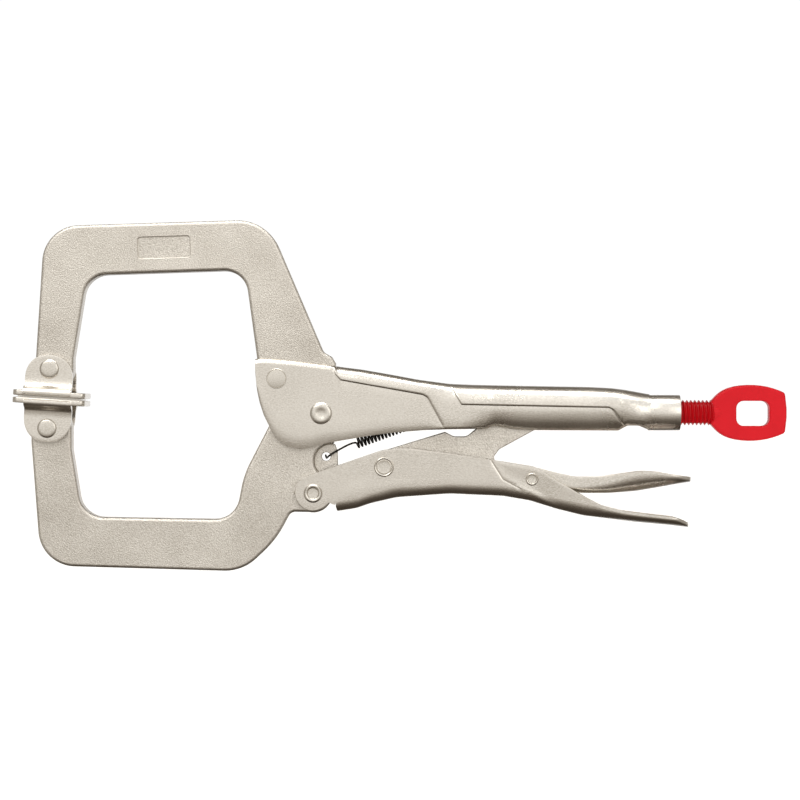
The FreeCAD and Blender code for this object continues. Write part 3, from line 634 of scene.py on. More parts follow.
# %% [markdown]
# ## Upper handle
# One pressed channel from the nose to the grip. The nose's two cheeks hold the forged jaw between them.
# Behind it they join over the top in a rounded crown that turns into the round grip. Two press lines
# stiffen it: the first raises the crown over the cheek, and the second raises the grip over its skirt.
# Behind the grip the sheet wraps round into the barrel that carries the screw. Its side view is four drawn
# lines, (x, z) in mm: the crown above, the skirt's rim below and the two press lines between them.

# %% Lines of the upper handle
CROWN = [(76.9, 14.4), (77.3, 14.7), (79.8, 15.0), (90, 14.1), (105.7, 12.2), (111, 11.4), (117, 10.7),
         (129, 8.6), (138, 6.9), (150, 5.3), (159, 4.95), (175, 4.6), (190, 4.35), (203, 4.1), (211, 3.7),
         (216, 3.1), (221, 2.2), (225.2, 1.4)]
SKIRT = [(77.0, 9.5), (77.6, 3.4), (78.7, -1.8), (80.2, -6.4), (81.9, -9.9), (83.6, -13.3), (86.2, -16.2),
         (89.7, -18.5), (94.3, -19.2), (98.3, -18.5), (102.4, -17.1), (108.2, -16.2), (119.7, -14.2),
         (128.9, -13.0), (140.5, -12.1), (149, -11.8), (163.6, -11.6), (166.5, -10.4), (173.7, -11.7),
         (180, -12.1), (213.4, -12.3), (216.6, -10.4), (221.4, -10.4), (223, -11.0), (225.2, -12.1)]
FIRST_PRESS = [(105.6, 13.5), (107, 8.9), (109.1, 6.6), (139.9, 1.1), (141.7, 0.0), (147.9, -11.5)]
SECOND_PRESS = [(149.9, 5.6), (152.1, 1.1), (154.4, -2.6), (209.6, -3.7), (211.2, -4.6), (216.0, -12.0)]
print("grip:", round(read(CROWN, 180) - read(SKIRT, 180), 1), "mm tall at its middle")

# %% [markdown]
# ### Sections of the upper handle
# A press line is a step in the sheet's side: behind it the side stands out by a third of a millimetre, with
# a fine crease at its foot. So each section's rows are placed at the press lines first and spread between
# them after, or the step would be lost between two rows. Towards the barrel the section turns to a circle.

# %% Sections of the upper handle
SCREW_Z = middle_of("screw_point")[1]
CHEEK = 7.05
RAISE = 0.38
CREASE = 0.2


def upper_side(x, z):
    """Half the width of the handle's flat side at this place."""
    first, second = past_line(FIRST_PRESS, x, z), past_line(SECOND_PRESS, x, z)
    fade = ramp(-12.0, -8.5, z)
    lifted = CHEEK + RAISE * fade * ramp(-0.3, 0.3, first) + RAISE * ramp(-0.3, 0.3, second)
    crease = CREASE * fade * math.exp(-(first / 0.3) ** 2) + CREASE * math.exp(-(second / 0.3) ** 2)
    return lifted - crease


def upper_section(x):
    """One section of the upper handle, from the near rim over the crown to the far rim."""
    top, rim = soft(CROWN, x, 1.2), read(SKIRT, x) if x < 96 else soft(SKIRT, x, 0.5)
    crown = ramp(105.4, 108.4, x)
    back = ramp(140.0, 158.0, x)
    rise = min(2.2 + 2.4 * crown + 2.7 * back, (top - rim) * 0.45)
    flat = 5.0 - 2.6 * crown - 2.0 * back
    shoulder = top - rise
    turn_in = 2.5 * ramp(152.0, 172.0, x)
    wrap = ramp(212.0, 224.0, x)
    ring = top - SCREW_Z

    def out(z):
        """Half the width at this height: the side, the crown's arc above it, the barrel's circle behind."""
        side = upper_side(x, z)
        if z > shoulder:
            side = flat + (side - flat) * math.sqrt(max(1 - ((z - shoulder) / rise) ** 2, 0))
        elif z < -3.6:
            side -= turn_in * ((-3.6 - z) / (-3.6 - rim)) ** 2
        side -= 0.35 * math.exp(-((z - rim) / 0.5) ** 2)
        return side + (math.sqrt(max(ring * ring - (z - SCREW_Z) ** 2, 0)) - side) * wrap

    # Rows: four close together across each press line, and the rest spread between them.
    ceiling = top - 0.7
    first = min(read(FIRST_PRESS, x), ceiling - 1.6) if x < FIRST_PRESS[-1][0] else rim + 1.0
    first = max(first, rim + 1.0)
    second = min(read(SECOND_PRESS, x), ceiling - 0.6) if x > 104 else ceiling - 0.6
    second = max(second, first + 1.0)
    levels = [rim + (first - 0.35 - rim) * n / 6 for n in range(6)]
    levels += [first - 0.35, first - 0.12, first + 0.12, first + 0.35]
    levels += [first + 0.35 + (second - first - 0.7) * n / 6 for n in range(1, 6)]
    levels += [second - 0.35, second - 0.12, second + 0.12, second + 0.35]
    start = max(shoulder, levels[-1] + 0.5)
    levels += [levels[-1] + (start - levels[-1]) * n / 2 for n in (1, 2)]
    low = math.asin(min(max((start - shoulder) / rise, 0), 1))
    levels += [shoulder + rise * math.sin(low + (math.pi / 2 - low) * n / 12) for n in range(1, 13)]
    half = [(x, -out(z), z) for z in levels]
    return half + [(x, 0.0, top)] + [(x, -y, z) for x, y, z in reversed(half)]


print("rows in a section:", len(upper_section(120)))

# %% [markdown]
# ### The upper handle's shell
# The stations lie close together where a press line crosses them steeply and wide apart on the plain grip.
# The nose is open above, where the jaw's tang goes in, so the crown's faces are deleted there before the
# sheet gets its thickness.

# %% Upper handle
upper_stations = spread((77.0, 78.0, 0.25), (78.0, 88.0, 0.7), (88.0, 104.0, 1.2), (104.0, 110.5, 0.25),
                        (110.5, 138.0, 1.2), (138.0, 149.0, 0.4), (149.0, 155.5, 0.22), (155.5, 163.0, 0.8),
                        (163.0, 168.0, 0.4), (168.0, 207.5, 1.5), (207.5, 217.0, 0.25), (217.0, 225.2, 0.5))
upper = channel("upper_handle_shell", [upper_section(x) for x in upper_stations])
open_up(upper, lambda x, y, z: x < 107.4 and abs(y) < 4.95 and z > 8)
thicken(upper, sheet=2.1, rim=0.3)

# %% [markdown]
# ### Barrel
# The barrel is the end of the same sheet, rolled round and sized, so it is a short tube: a cylinder
# without caps, thickened inwards, with a small chamfer at its mouth.

# %% Barrel
BARREL_START, BARREL_END, BARREL_RADIUS = 224.6, 236.8, 6.7
barrel = begin("cylinder", "barrel", vertices=72, radius=BARREL_RADIUS * MM,
               depth=(BARREL_END - BARREL_START) * MM, end_fill_type="NOTHING",
               location=((BARREL_START + BARREL_END) / 2 * MM, 0, SCREW_Z * MM),
               rotation=(0, math.radians(90), 0))
settle(barrel)
thicken(barrel, sheet=1.6, rim=0.25)
join(upper, barrel)
hand_over(upper, SHEET_NICKEL, "frame", "upper_handle")

# %% [markdown]
# ## Lower handle
# A channel the other way up: two walls folded up from a rounded back. Its ears hold the knee rivet at
# the front, and at the back the walls run down and the channel spreads to a shallow spoon for the hand.
# A slanting press line crosses the walls behind the middle. The walls lean in a little towards the back, as
# pressed walls do so that they leave the die, and they lean more behind that line. The side view is again
# drawn lines: the walls' rim above, the back below and the press line.

# %% Lines of the lower handle
WALL = [(92.0, -35.9), (92.15, -34.0), (93.0, -31.9), (95.0, -30.1), (100, -28.1), (110, -24.8),
        (120, -21.3), (125, -19.7), (130, -18.9), (135, -19.0), (150, -20.9), (166.6, -23.6), (180, -25.7),
        (182, -26.1), (185, -27.6), (191, -31.6), (195, -34.0), (202.6, -38.2), (207.7, -40.7),
        (215.2, -42.6), (223.9, -43.7), (234.5, -44.9), (238.0, -45.9), (239.7, -47.4)]
BACK = [(92.0, -35.9), (92.4, -38.1), (93.4, -40.0), (94.9, -41.3), (96.6, -42.2), (98.7, -42.5),
        (101, -42.1), (103, -40.9), (104.7, -39.5), (106.5, -40.3), (107.1, -40.9), (107.7, -42.6),
        (115, -41.5), (120, -39.7), (130, -37.4), (150, -36.0), (170, -36.9), (180, -38.6), (190, -41.7),
        (200, -44.2), (220, -46.7), (234, -48.0), (239.7, -48.7)]
THIRD_PRESS = [(165.1, -23.0), (169.9, -30.7), (177.3, -34.6), (188.6, -41.5)]
WALL_OUT = 6.75
print("lower handle:", round(read(WALL, 150) - read(BACK, 150), 1), "mm deep at its middle")

# %% [markdown]
# ### Sections of the lower handle
# Each section is a U: a quarter round from the back to the wall, then the wall up to its rim, with four rows
# close together across the press line. The ears are flat plates, so the round starts only behind them.

# %% Sections of the lower handle


def quarter_round(x, flat, wide, back, rise):
    """Points of the bend from a channel's back to its wall, on the near side."""
    angles = [math.pi / 2 * n / 8 for n in range(9)]
    return [(x, -(flat + (wide - flat) * math.sin(a)), back + rise * (1 - math.cos(a))) for a in angles]


def lower_section(x):
    """One section of the lower handle, from the far rim round the back to the near rim."""
    rim = read(WALL, x) if x < 97 else soft(WALL, x, 0.8)
    back = read(BACK, x) if x < 109 else soft(BACK, x, 1.0)
    back = min(back, rim - 0.3)
    tail = ramp(188.0, 222.0, x)
    web = ramp(106.6, 108.0, x)
    tip = rounded_tip(x, 231.0, 240.3)
    wide = (WALL_OUT + 2.4 * tail) * tip
    rise = (0.35 + 3.6 * web) * (1 - tail) + (rim - back) * 0.8 * tail
    rise = min(rise, (rim - back) * 0.8)
    flat = (wide - 0.35 - 3.5 * web) * (1 - tail) + wide * 0.25 * tail
    fold = back + rise
    half = quarter_round(x, flat, wide, back, rise)
    press = min(max(read(THIRD_PRESS, x), fold + 0.6), rim - 0.6)
    if rim - fold < 1.6:
        press = (rim + fold) / 2
    gap = min(0.35, (rim - fold) * 0.15)
    levels = [fold + (press - gap - fold) * n / 5 for n in range(1, 5)]
    levels += [press - gap, press - gap / 3, press + gap / 3, press + gap]
    levels += [press + gap + (rim - press - gap) * n / 5 for n in range(1, 6)]
    half += [(x, -wide, z) for z in levels]
    shaped = []
    for x, y, z in half:
        step = past_line(THIRD_PRESS, x, z)
        inset = 0.16 * math.exp(-(step / 0.25) ** 2) * (1 - tail)
        lean = (0.028 + 0.05 * ramp(0.2, 3.0, step)) * (rim - z) * (1 - tail)
        along_ridge = ramp(108, 116, x) * (1 - ramp(126, 140, x))
        ridge = 0.22 * math.exp(-((z + 34.2 - (x - 120) * 0.11) / 0.9) ** 2) * along_ridge
        shaped.append((x, y + (inset + lean) * min(1.0, -y / wide) - ridge, z))
    return [(x, -y, z) for x, y, z in reversed(shaped)] + [(x, 0.0, back)] + shaped


# %% [markdown]
# ### The lower handle's shell
# In front of the web the channel is open below as well, so that the jaw's lug can turn between the ears.

# %% Lower handle
lower_stations = spread((92.0, 93.0, 0.2), (93.0, 104.0, 0.8), (104.0, 109.0, 0.35), (109.0, 162.0, 2.2),
                        (162.0, 191.0, 0.35), (191.0, 230.0, 1.5), (230.0, 239.7, 0.6))
lower = channel("lower_handle_shell", [lower_section(x) for x in lower_stations])
open_up(lower, lambda x, y, z: x < 107.2 and abs(y) < 6.35)
thicken(lower, sheet=1.8, rim=0.3)
hand_over(lower, SHEET_NICKEL, "lower_handle", "lower_handle")

# %% [markdown]
# ## Release lever
# A small trough of thinner sheet that pivots between the lower handle's walls. Its tail leaves them, widens
# like a spoon and closes to a flat tip where the finger pulls it.

# %% Release lever
LEVER_RIM = [(169.0, -30.6), (172, -28.8), (176, -27.2), (182.3, -26.1), (190, -28.2), (197.7, -29.8),
             (207, -29.7), (215, -28.5), (222, -27.6), (228, -27.8), (233, -28.7), (240.6, -29.8)]
LEVER_BACK = [(169.0, -32.6), (180, -34.3), (200, -35.8), (210, -35.8), (220, -35.1), (229, -33.6),
              (235, -32.5), (240.6, -31.6)]


def lever_section(x):
    """One section of the lever, from the far rim round the back to the near rim."""
    rim, back = soft(LEVER_RIM, x, 1.5), soft(LEVER_BACK, x, 1.5)
    tail = ramp(196.0, 222.0, x)
    tip = rounded_tip(x, 230.0, 241.4)
    wide = (4.2 + 3.4 * tail) * tip
    flat = (wide - 2.2) * (1 - tail) + wide * 0.2 * tail
    rise = 2.2 * (1 - tail) + (rim - back) * 0.85 * tail
    rise = min(rise, (rim - back) * 0.85)
    half = quarter_round(x, flat, wide, back, rise)
    half += [(x, -wide, back + rise + (rim - back - rise) * n / 5) for n in range(1, 6)]
    return [(x, -y, z) for x, y, z in reversed(half)] + [(x, 0.0, back)] + half


lever = channel("release_lever_shell", [lever_section(x) for x in spread((169.0, 240.6, 1.0))])
thicken(lever, sheet=1.3, rim=0.22)
hand_over(lever, SHEET_NICKEL, "release_lever", "release_lever")

# %% [markdown]
# ## Swivel pads
# Each pad is stamped from one sheet: a flat face that grips the work, rolled up at its two long sides,
# pulled in again over the roll, and standing up as two ears that hold the jaw and the rivet. Its section
# runs from ear to ear, and the ears are rounded by shortening the outer columns. A raised grip face in the
# middle all but touches the other pad's, so a dark line runs round between the two plates.

# %% Swivel pads
PAD_TILT = math.radians(3.6)
PAD_FACE = 0.05
EAR_HALF = 8.9
EAR_STEPS = (0.15, 0.3, 0.44, 0.58, 0.7, 0.8, 0.88, 0.94, 0.98, 1)
ROLL = [(0.0, 0.4), (6.0, 0.4), (9.2, 0.4), (10.2, 0.6), (10.85, 1.1), (11.0, 1.8), (10.85, 2.45),
        (10.4, 3.0), (9.7, 3.4), (8.8, 3.7), (8.0, 4.0), (7.3, 4.45), (6.95, 5.1), (6.9, 7.4)]
EAR_OUT, EAR_FOOT = ROLL[-1]


def pad_section(x, middle, top):
    """One section of the upper pad, from the far ear round the face to the near ear."""
    off = (x - middle) / EAR_HALF
    ear = 7.5 + (top - 7.5) * math.sqrt(max(1.0 - abs(off) ** 2.3, 0.0))
    half = [(x, -y, PAD_FACE + z) for y, z in ROLL]
    half += [(x, -EAR_OUT, PAD_FACE + EAR_FOOT + (ear - EAR_FOOT) * n / 6) for n in range(1, 7)]
    return [(x, -y, z) for x, y, z in reversed(half[1:])] + half


def swivel_pad(name, body, side):
    """A pad about its rivet; side is +1 over the work and -1 under it."""
    x, z = middle_of(f"{body}_rivet")
    middle = x * math.cos(PAD_TILT) - z * math.sin(PAD_TILT)
    top = abs(x * math.sin(PAD_TILT) + z * math.cos(PAD_TILT)) + 5.3
    steps = [-step for step in reversed(EAR_STEPS)] + [0] + list(EAR_STEPS)
    piece = channel(name, [pad_section(middle + EAR_HALF * step, middle, top) for step in steps])
    thicken(piece, sheet=1.9, rim=0.28)
    face_plate = begin("cube", "face_plate", size=1, location=(0, 0, (PAD_FACE + 1.35) * MM),
                       scale=(27.2 * MM, 21.0 * MM, 2.1 * MM))
    settle(face_plate)
    pick(face_plate, "EDGE", lambda mesh, one: abs((mesh.vertices[one.vertices[0]].co
                                                    - mesh.vertices[one.vertices[1]].co).z) > 1 * MM)
    bpy.ops.mesh.bevel(offset=2.2 * MM, segments=5, affect="EDGES")
    bpy.ops.object.mode_set(mode="OBJECT")
    break_edges(face_plate, width=0.35, segments=2, angle=60)
    smooth(face_plate, 40)
    grip = begin("cube", "grip_face", size=1, location=(0, 0, (PAD_FACE + 0.25) * MM),
                 scale=(23.6 * MM, 17.0 * MM, 0.5 * MM))
    settle(grip)
    join(piece, face_plate, grip)
    piece.scale = (1, 1, side)
    piece.rotation_euler = (0, PAD_TILT, 0)
    settle(piece)
    if side < 0:
        edit_all(piece)
        bpy.ops.mesh.flip_normals()
        bpy.ops.object.mode_set(mode="OBJECT")
    hand_over(piece, SHEET_NICKEL, body, body)


swivel_pad("upper_pad_stamping", "upper_pad", 1)
swivel_pad("lower_pad_stamping", "lower_pad", -1)

# %% [markdown]
# ## Rivets
# A rivet is turned or headed, so it is round about its own axis: half of its section is drawn by extruding
# a point from place to place, and then spun round. The tools leave a different head on each: domed with a
# dished middle on the main pivot, a ring round a flat disc on the linkage, a plain button on the pads. A
# head is written as (radius, height over the sheet) in mm, from its middle out.

# %% Rivets


def spun(name, outline):
    """Spin half a section, (radius, height) in mm, round the Y axis."""
    piece = drawn(name, [(r, y, 0) for r, y in outline])
    bpy.ops.mesh.select_all(action="SELECT")
    bpy.ops.mesh.spin(steps=48, angle=math.tau, center=(0, 0, 0), axis=(0, 1, 0))
    bpy.ops.object.mode_set(mode="OBJECT")
    close_up(piece)
    smooth(piece, 30)
    return piece


def rivet(name, node, body, head, half):
    """A rivet with the same head at both ends, on sheets whose outer faces are half mm from the middle."""
    x, z = middle_of(node)
    near = [(r, -half - y) for r, y in head]
    shank = head[-1][0] * 0.7
    outline = near + [(shank, -half + 0.2), (shank, half - 0.2)] + [(r, -y) for r, y in reversed(near)]
    piece = spun(name, outline)
    piece.location = (x * MM, 0, z * MM)
    settle(piece)
    hand_over(piece, RIVET_NICKEL, body, node)


DOMED = [(0.0, 0.55), (0.8, 0.56), (1.5, 0.72), (2.1, 0.92), (2.7, 0.98), (3.3, 0.86), (3.8, 0.6),
         (4.1, 0.25), (4.15, -0.3)]
RINGED = [(0.0, 0.62), (1.2, 0.62), (2.2, 0.66), (2.45, 0.72), (2.6, 0.55), (2.8, 0.5), (3.05, 0.72),
          (3.3, 0.78), (3.55, 0.62), (3.7, 0.3), (3.72, -0.3)]
DISHED = [(0.0, 0.25), (1.2, 0.24), (1.9, 0.3), (2.15, 0.62), (2.5, 0.84), (2.9, 0.86), (3.3, 0.62),
          (3.5, 0.3), (3.52, -0.3)]
SMALL = [(0.0, 0.2), (1.0, 0.2), (1.5, 0.28), (1.75, 0.55), (2.0, 0.62), (2.25, 0.45), (2.4, 0.15),
         (2.42, -0.3)]
BUTTON = [(0.0, 0.95), (1.3, 0.93), (2.2, 0.88), (2.9, 0.8), (3.35, 0.6), (3.6, 0.3), (3.66, -0.3)]
LEANING_WALL = 6.35
rivet("main_pivot_head", "main_pivot_rivet", "frame", DOMED, CHEEK)
rivet("knee_rivet_head", "knee_rivet", "lower_handle", DISHED, WALL_OUT)
rivet("toggle_rivet_head", "toggle_rivet", "lower_handle", RINGED, WALL_OUT)
rivet("lever_rivet_head", "lever_rivet", "lower_handle", SMALL, LEANING_WALL)
for pad in ("upper_pad", "lower_pad"):
    rivet(f"{pad}_rivet_head", f"{pad}_rivet", pad, BUTTON, EAR_OUT)

# %% [markdown]
# ### Flush rivet
# The rivet that fixes the jaw in the nose is ground flush before plating, so only a fine round line shows.
# It stands out by a tenth of a millimetre, and a narrow groove runs round just inside its edge.

# %% Flush rivet
FLUSH = [(0.0, 0.14), (3.2, 0.14), (3.36, 0.1), (3.44, 0.0), (3.52, 0.1), (3.66, 0.12), (3.78, 0.02),
         (3.8, -0.3)]
rivet("fixed_jaw_rivet_flush", "fixed_jaw_rivet", "frame", FLUSH, CHEEK)

# %% [markdown]
# ## Adjusting screw
# The thread is a helix: one tooth's profile, a point extruded from root to crest, is carried round and
# along by a Screw modifier, 1.5 mm a turn. A round core closes it inside. The key head is a flat, barrel
# shaped plate with a rounded window, cut from the same bar and coated red with the thread.

# %% Thread
PITCH = 1.5
CORE_START, THREAD_START, THREAD_END = 197.6, 198.2, 249.4
CREST, ROOT = 4.8, 3.95
tooth = [(0, ROOT), (0.12, ROOT), (0.68, CREST), (0.82, CREST), (1.38, ROOT), (PITCH, ROOT)]
thread = drawn("adjusting_screw_thread", [(THREAD_START + x, 0, r) for x, r in tooth])
bpy.ops.object.mode_set(mode="OBJECT")
turns = int((THREAD_END - THREAD_START) / PITCH)
apply(thread, "SCREW", axis="X", angle=math.tau, screw_offset=PITCH * MM, iterations=turns, steps=36,
      render_steps=36, use_merge_vertices=True, merge_threshold=1e-6)
close_up(thread)
smooth(thread, 30)
thread.location.z = SCREW_Z * MM
settle(thread)
core = begin("cylinder", "thread_core", vertices=48, radius=(ROOT + 0.03) * MM,
             depth=(THREAD_END - CORE_START) * MM,
             location=((THREAD_END + CORE_START) / 2 * MM, 0, SCREW_Z * MM),
             rotation=(0, math.radians(90), 0))
settle(core)
smooth(core, 30)
join(thread, core)
hand_over(thread, SHADED_THREAD_COAT, "screw", "adjusting_screw")
print("thread:", turns, "turns")

# %% [markdown]
# ### Key head
# Its outline is walked point by point with extrude, closed to a face, extruded to its thickness and
# bevelled. The upper half is written down and mirrored. The window is cut by a rounded plate, and its two
# rims are bevelled by hand. A short turned neck leads from the thread's last turn into the flat head.

# %% Key head
KEY_THICK = 6.5
KEY_TOP = [(248.2, -1.5), (249.4, -0.2), (250.2, 0.7), (251.7, 2.0), (253.2, 2.95), (255.0, 3.75),
           (257.4, 4.4), (259.7, 4.75), (262.1, 4.9), (264.6, 4.87), (267.0, 4.65), (269.4, 4.25),
           (271.7, 3.65), (274.0, 2.85), (275.7, 2.1), (276.2, 1.5), (276.35, 0.5), (276.6, -1.6),
           (276.85, -3.9)]
KEY_MIDDLE = -5.65
WINDOW = (264.1, KEY_MIDDLE - 0.2, 6.2, 4.7, 2.7)
NECK = [(0, 247.6), (ROOT - 0.1, 247.6), (ROOT + 0.15, 248.8), (ROOT, 250.0), (3.6, 251.4), (3.0, 252.8),
        (2.0, 254.2), (0, 254.9)]
key_outline = KEY_TOP + [(x, 2 * KEY_MIDDLE - z) for x, z in reversed(KEY_TOP)]
key = plate("adjusting_screw_key", key_outline, KEY_THICK)
break_edges(key, width=1.1, segments=5, angle=60, clamp=False)
cut(key, plate("window", rounded_box(*WINDOW), KEY_THICK * 2))


def window_rim(mesh, one):
    """True for an edge of the window's rim on either face."""
    a, b = (mesh.vertices[n].co / MM for n in one.vertices)
    x, z, half_x, half_z, corner = WINDOW
    inside = all(abs(p.x - x) < half_x + 0.05 and abs(p.z - z) < half_z + 0.05 for p in (a, b))
    flat = all(abs(abs(p.y) - KEY_THICK / 2) < 0.01 for p in (a, b)) and a.y * b.y > 0
    return inside and flat


print("window rim:", pick(key, "EDGE", window_rim), "edges")
bpy.ops.mesh.bevel(offset=0.7 * MM, segments=4, affect="EDGES", clamp_overlap=False)
bpy.ops.object.mode_set(mode="OBJECT")
even_shading(key)
neck = spun("neck", NECK)
neck.rotation_euler.z = math.radians(-90)
neck.location.z = SCREW_Z * MM
settle(neck)
join(key, neck)
hand_over(key, RED_COAT, "screw", "adjusting_screw")

# %% [markdown]
# ### Screw point
# The turned-down point inside the handle is plain round stock, so the frame's own node stays and only
# takes the thread's darker red, which is painted shade.

# %% Screw point
# Painted shade: the point wears the thread's darker red.
wear(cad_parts["screw_point"], SHADED_THREAD_COAT)

# %% [markdown]
# ## Tension spring
# The spring is one wire: a hook through the tab's hole, a straight lead, a close coil, and a leg to its
# post in the handle. A wire is a curve with a round bevel, so its path is written down, given a
# thickness and turned to a mesh. It joins two bodies that turn on each other, but here it is one mesh that
# keeps its drawn shape.

# %% Tension spring
COIL_FRONT, COIL_BACK = Vector((114.8, 0.0, -16.6)), Vector((144.6, 0.0, -5.9))
COIL_OUT, WIRE, COIL_PITCH, STEPS_A_TURN = 2.4, 0.37, 1.35, 14
HOOK = [(103.2, 2.6, -21.6), (103.4, 1.2, -22.6), (103.7, -0.8, -22.7), (104.1, -2.3, -22.2),
        (105.2, -2.9, -21.3), (108.5, -3.0, -19.4), (112.0, -2.9, -17.5)]
LEG = [(146.5, -2.3, -4.6), (148.6, -2.0, -2.9), (150.0, -1.4, -2.0), (151.3, -0.6, -2.8),
       (151.4, 0.0, -4.3), (150.2, 0.3, -5.4)]


def coil():
    """Points of the coil, from its front turn to its back turn."""
    run = COIL_BACK - COIL_FRONT
    across = Vector((0, -1, 0))
    up = run.normalized().cross(across)
    steps = int(run.length / COIL_PITCH) * STEPS_A_TURN
    for n in range(steps + 1):
        angle = math.tau * n / STEPS_A_TURN
        yield COIL_FRONT + run * n / steps + (across * math.cos(angle) + up * math.sin(angle)) * COIL_OUT


path = bpy.data.curves.new("tension_spring_wire", "CURVE")
path.dimensions = "3D"
path.bevel_depth = WIRE * MM
path.bevel_resolution = 2
path.use_fill_caps = True
run = path.splines.new("NURBS")
wire_points = [Vector(spot) for spot in (*HOOK, *coil(), *LEG)]
run.points.add(len(wire_points) - 1)
for point, spot in zip(run.points, wire_points):
    point.co = (*(spot * MM), 1.0)
run.order_u = 3
run.use_endpoint_u = True
run.resolution_u = 2
spring = bpy.data.objects.new("tension_spring_wire", path)
bpy.context.scene.collection.objects.link(spring)
work_on(spring)
bpy.ops.object.convert(target="MESH")
spring = bpy.context.object
smooth(spring, 60)
wear(spring, BLACK_WIRE)
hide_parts("tension_spring")
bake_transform(spring)
print("spring:", len(wire_points), "points,", len(spring.data.polygons), "faces")

# %% [markdown]
# ## Floor
# The floor is a plain, pale, lit table top that fades out before the horizon, and it is left out of the
# reflections. It lies as far below the clamp as the open handle swings down, so that the clamp can be shown
# open too.

# %% Floor
FLOOR_RADIUS = 30.0
OPEN_REACH = 0.13
floor_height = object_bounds()[0][2] - OPEN_REACH
floor = begin("circle", "floor", vertices=96, radius=FLOOR_RADIUS, fill_type="NGON",
              location=(0.13, 0, floor_height))
settle(floor)
floor_paint, tree, ground = new_finish("pale_floor_paint")
share = add(tree, "ShaderNodeMapping", {"Vector": ground, "Scale": [1 / FLOOR_RADIUS] * 3})
ball = add(tree, "ShaderNodeTexGradient", {"Vector": share.outputs["Vector"]}, gradient_type="SPHERICAL")
fade = add(tree, "ShaderNodeMapRange", {"Value": ball.outputs["Fac"], "From Min": 0.02, "From Max": 0.5})
grain = add(tree, "ShaderNodeTexNoise", {"Vector": ground, "Scale": per_mm(3.0), "Detail": 2.0})
tone = add(tree, "ShaderNodeMix", {"Factor": grain.outputs["Fac"], "A": linear("#F4F3F1"),
                                   "B": linear("#F9F8F6")}, data_type="RGBA")
paint = add(tree, "ShaderNodeBsdfPrincipled",
            {"Base Color": tone.outputs["Result"], "Roughness": 0.8,
             "Emission Color": linear("#FFFDFA"), "Emission Strength": 0.6})
clear = add(tree, "ShaderNodeBsdfTransparent")
mixed = add(tree, "ShaderNodeMixShader", {0: fade.outputs["Result"], 1: clear.outputs["BSDF"],
                                          2: paint.outputs["BSDF"]})
add(tree, "ShaderNodeOutputMaterial", {"Surface": mixed.outputs["Shader"]})
wear(floor, floor_paint)
floor.visible_glossy = False
print("floor at", round(floor_height, 3), "m")

# %% [markdown]
# ## Room light
# Plated steel is lit by what it reflects. Going round the clamp's long axis, the room is pale in front,
# white above the front, dim over the back and dark and warm below, and it is grey at both ends, so every
# rolled edge shows a bright line and a dark one. A camera ray sees a plain white backdrop instead. The
# angle round the axis is an arctangent, 0 in front and 90 degrees overhead, and a colour ramp reads it.

# %% Room light
world = bpy.data.worlds.new("soft_room")
bpy.context.scene.world = world
world.use_nodes = True
tree = world.node_tree
tree.nodes.clear()
direction = add(tree, "ShaderNodeTexCoord").outputs["Generated"]
axes = add(tree, "ShaderNodeSeparateXYZ", {"Vector": direction})
front = add(tree, "ShaderNodeMath", {0: axes.outputs["Y"], 1: -1.0}, operation="MULTIPLY")
round_x = add(tree, "ShaderNodeMath", {0: axes.outputs["Z"], 1: front.outputs["Value"]},
              operation="ARCTAN2")
turn = add(tree, "ShaderNodeMapRange", {"Value": round_x.outputs["Value"],
                                        "From Min": -math.pi, "From Max": math.pi})
dome = add(tree, "ShaderNodeValToRGB", {"Fac": turn.outputs["Result"]})
ROOM = [(-180, "#FFFFFF"), (-160, "#FFFFFF"), (-145, "#4A433B"), (-90, "#403932"), (-50, "#625A51"),
        (-22, "#B5AFA6"), (0, "#FAF8F4"), (35, "#FAF8F4"), (58, "#FFFFFF"), (84, "#FFFFFF"), (104, "#7C756C"),
        (150, "#5C554D"), (163, "#FFFFFF"), (180, "#FFFFFF")]
stops = dome.color_ramp.elements
stops[0].position, stops[0].color = 0.0, linear(ROOM[0][1])
stops[1].position, stops[1].color = 1.0, linear(ROOM[-1][1])
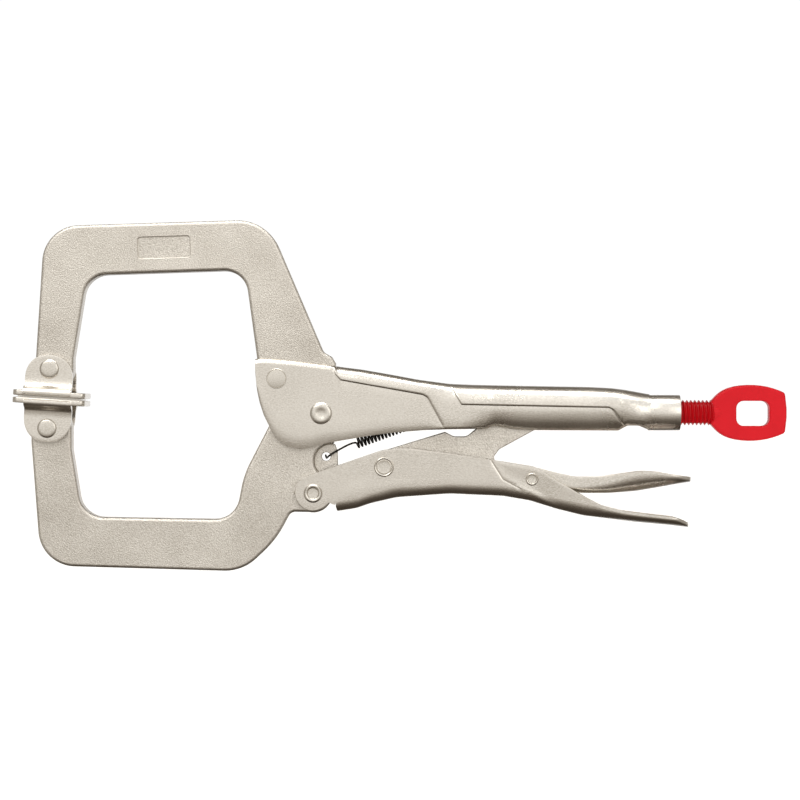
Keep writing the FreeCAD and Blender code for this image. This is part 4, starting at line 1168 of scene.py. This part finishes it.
for degrees, tint in ROOM[1:-1]:
    stop = stops.new((degrees + 180) / 360)
    stop.color = linear(tint)
sideways = add(tree, "ShaderNodeMath", {0: axes.outputs["X"]}, operation="ABSOLUTE")
ends = add(tree, "ShaderNodeMapRange", {"Value": sideways.outputs["Value"], "From Min": 0.5,
                                        "From Max": 0.85}, interpolation_type="SMOOTHSTEP")
room = add(tree, "ShaderNodeMix", {"Factor": ends.outputs["Result"], "A": dome.outputs["Color"],
                                   "B": linear("#A9A49C")}, data_type="RGBA")
sky = add(tree, "ShaderNodeBackground", {"Color": room.outputs["Result"], "Strength": 1.04})
backdrop = add(tree, "ShaderNodeBackground", {"Color": linear("#FFFFFF"), "Strength": 1.04})
seen = add(tree, "ShaderNodeLightPath").outputs["Is Camera Ray"]
whole = add(tree, "ShaderNodeMixShader", {0: seen, 1: sky.outputs["Background"],
                                          2: backdrop.outputs["Background"]})
add(tree, "ShaderNodeOutputWorld", {"Surface": whole.outputs["Shader"]})
print("room:", len(ROOM), "tones round the clamp's axis")

# %% [markdown]
# ### Softboxes
# Three weak area lights, all aimed at the clamp's middle, shape the rivet heads and the grain: a key from
# the front left, a fill from the right and a long one overhead for the line along the grip.

# %% Softboxes
CLAMP_MIDDLE = Vector((0.13, 0, 0))


def softbox(name, place, size, power):
    """A rectangular studio light aimed at the clamp; place and size in metres, power in watts."""
    lamp = bpy.data.lights.new(name, "AREA")
    lamp.shape = "RECTANGLE"
    lamp.size, lamp.size_y = size
    lamp.energy = power
    lamp.color = linear("#FFFDF8")[:3]
    box = bpy.data.objects.new(name, lamp)
    bpy.context.scene.collection.objects.link(box)
    box.location = place
    box.rotation_euler = (CLAMP_MIDDLE - Vector(place)).to_track_quat("-Z", "Y").to_euler()
    print(name, power, "W")


softbox("key_softbox", (-0.25, -0.75, 0.75), (0.7, 0.5), 2.5)
softbox("fill_softbox", (0.75, -0.7, 0.25), (0.5, 0.6), 1.0)
softbox("top_softbox", (0.13, -0.1, 0.9), (0.9, 0.25), 3.2)
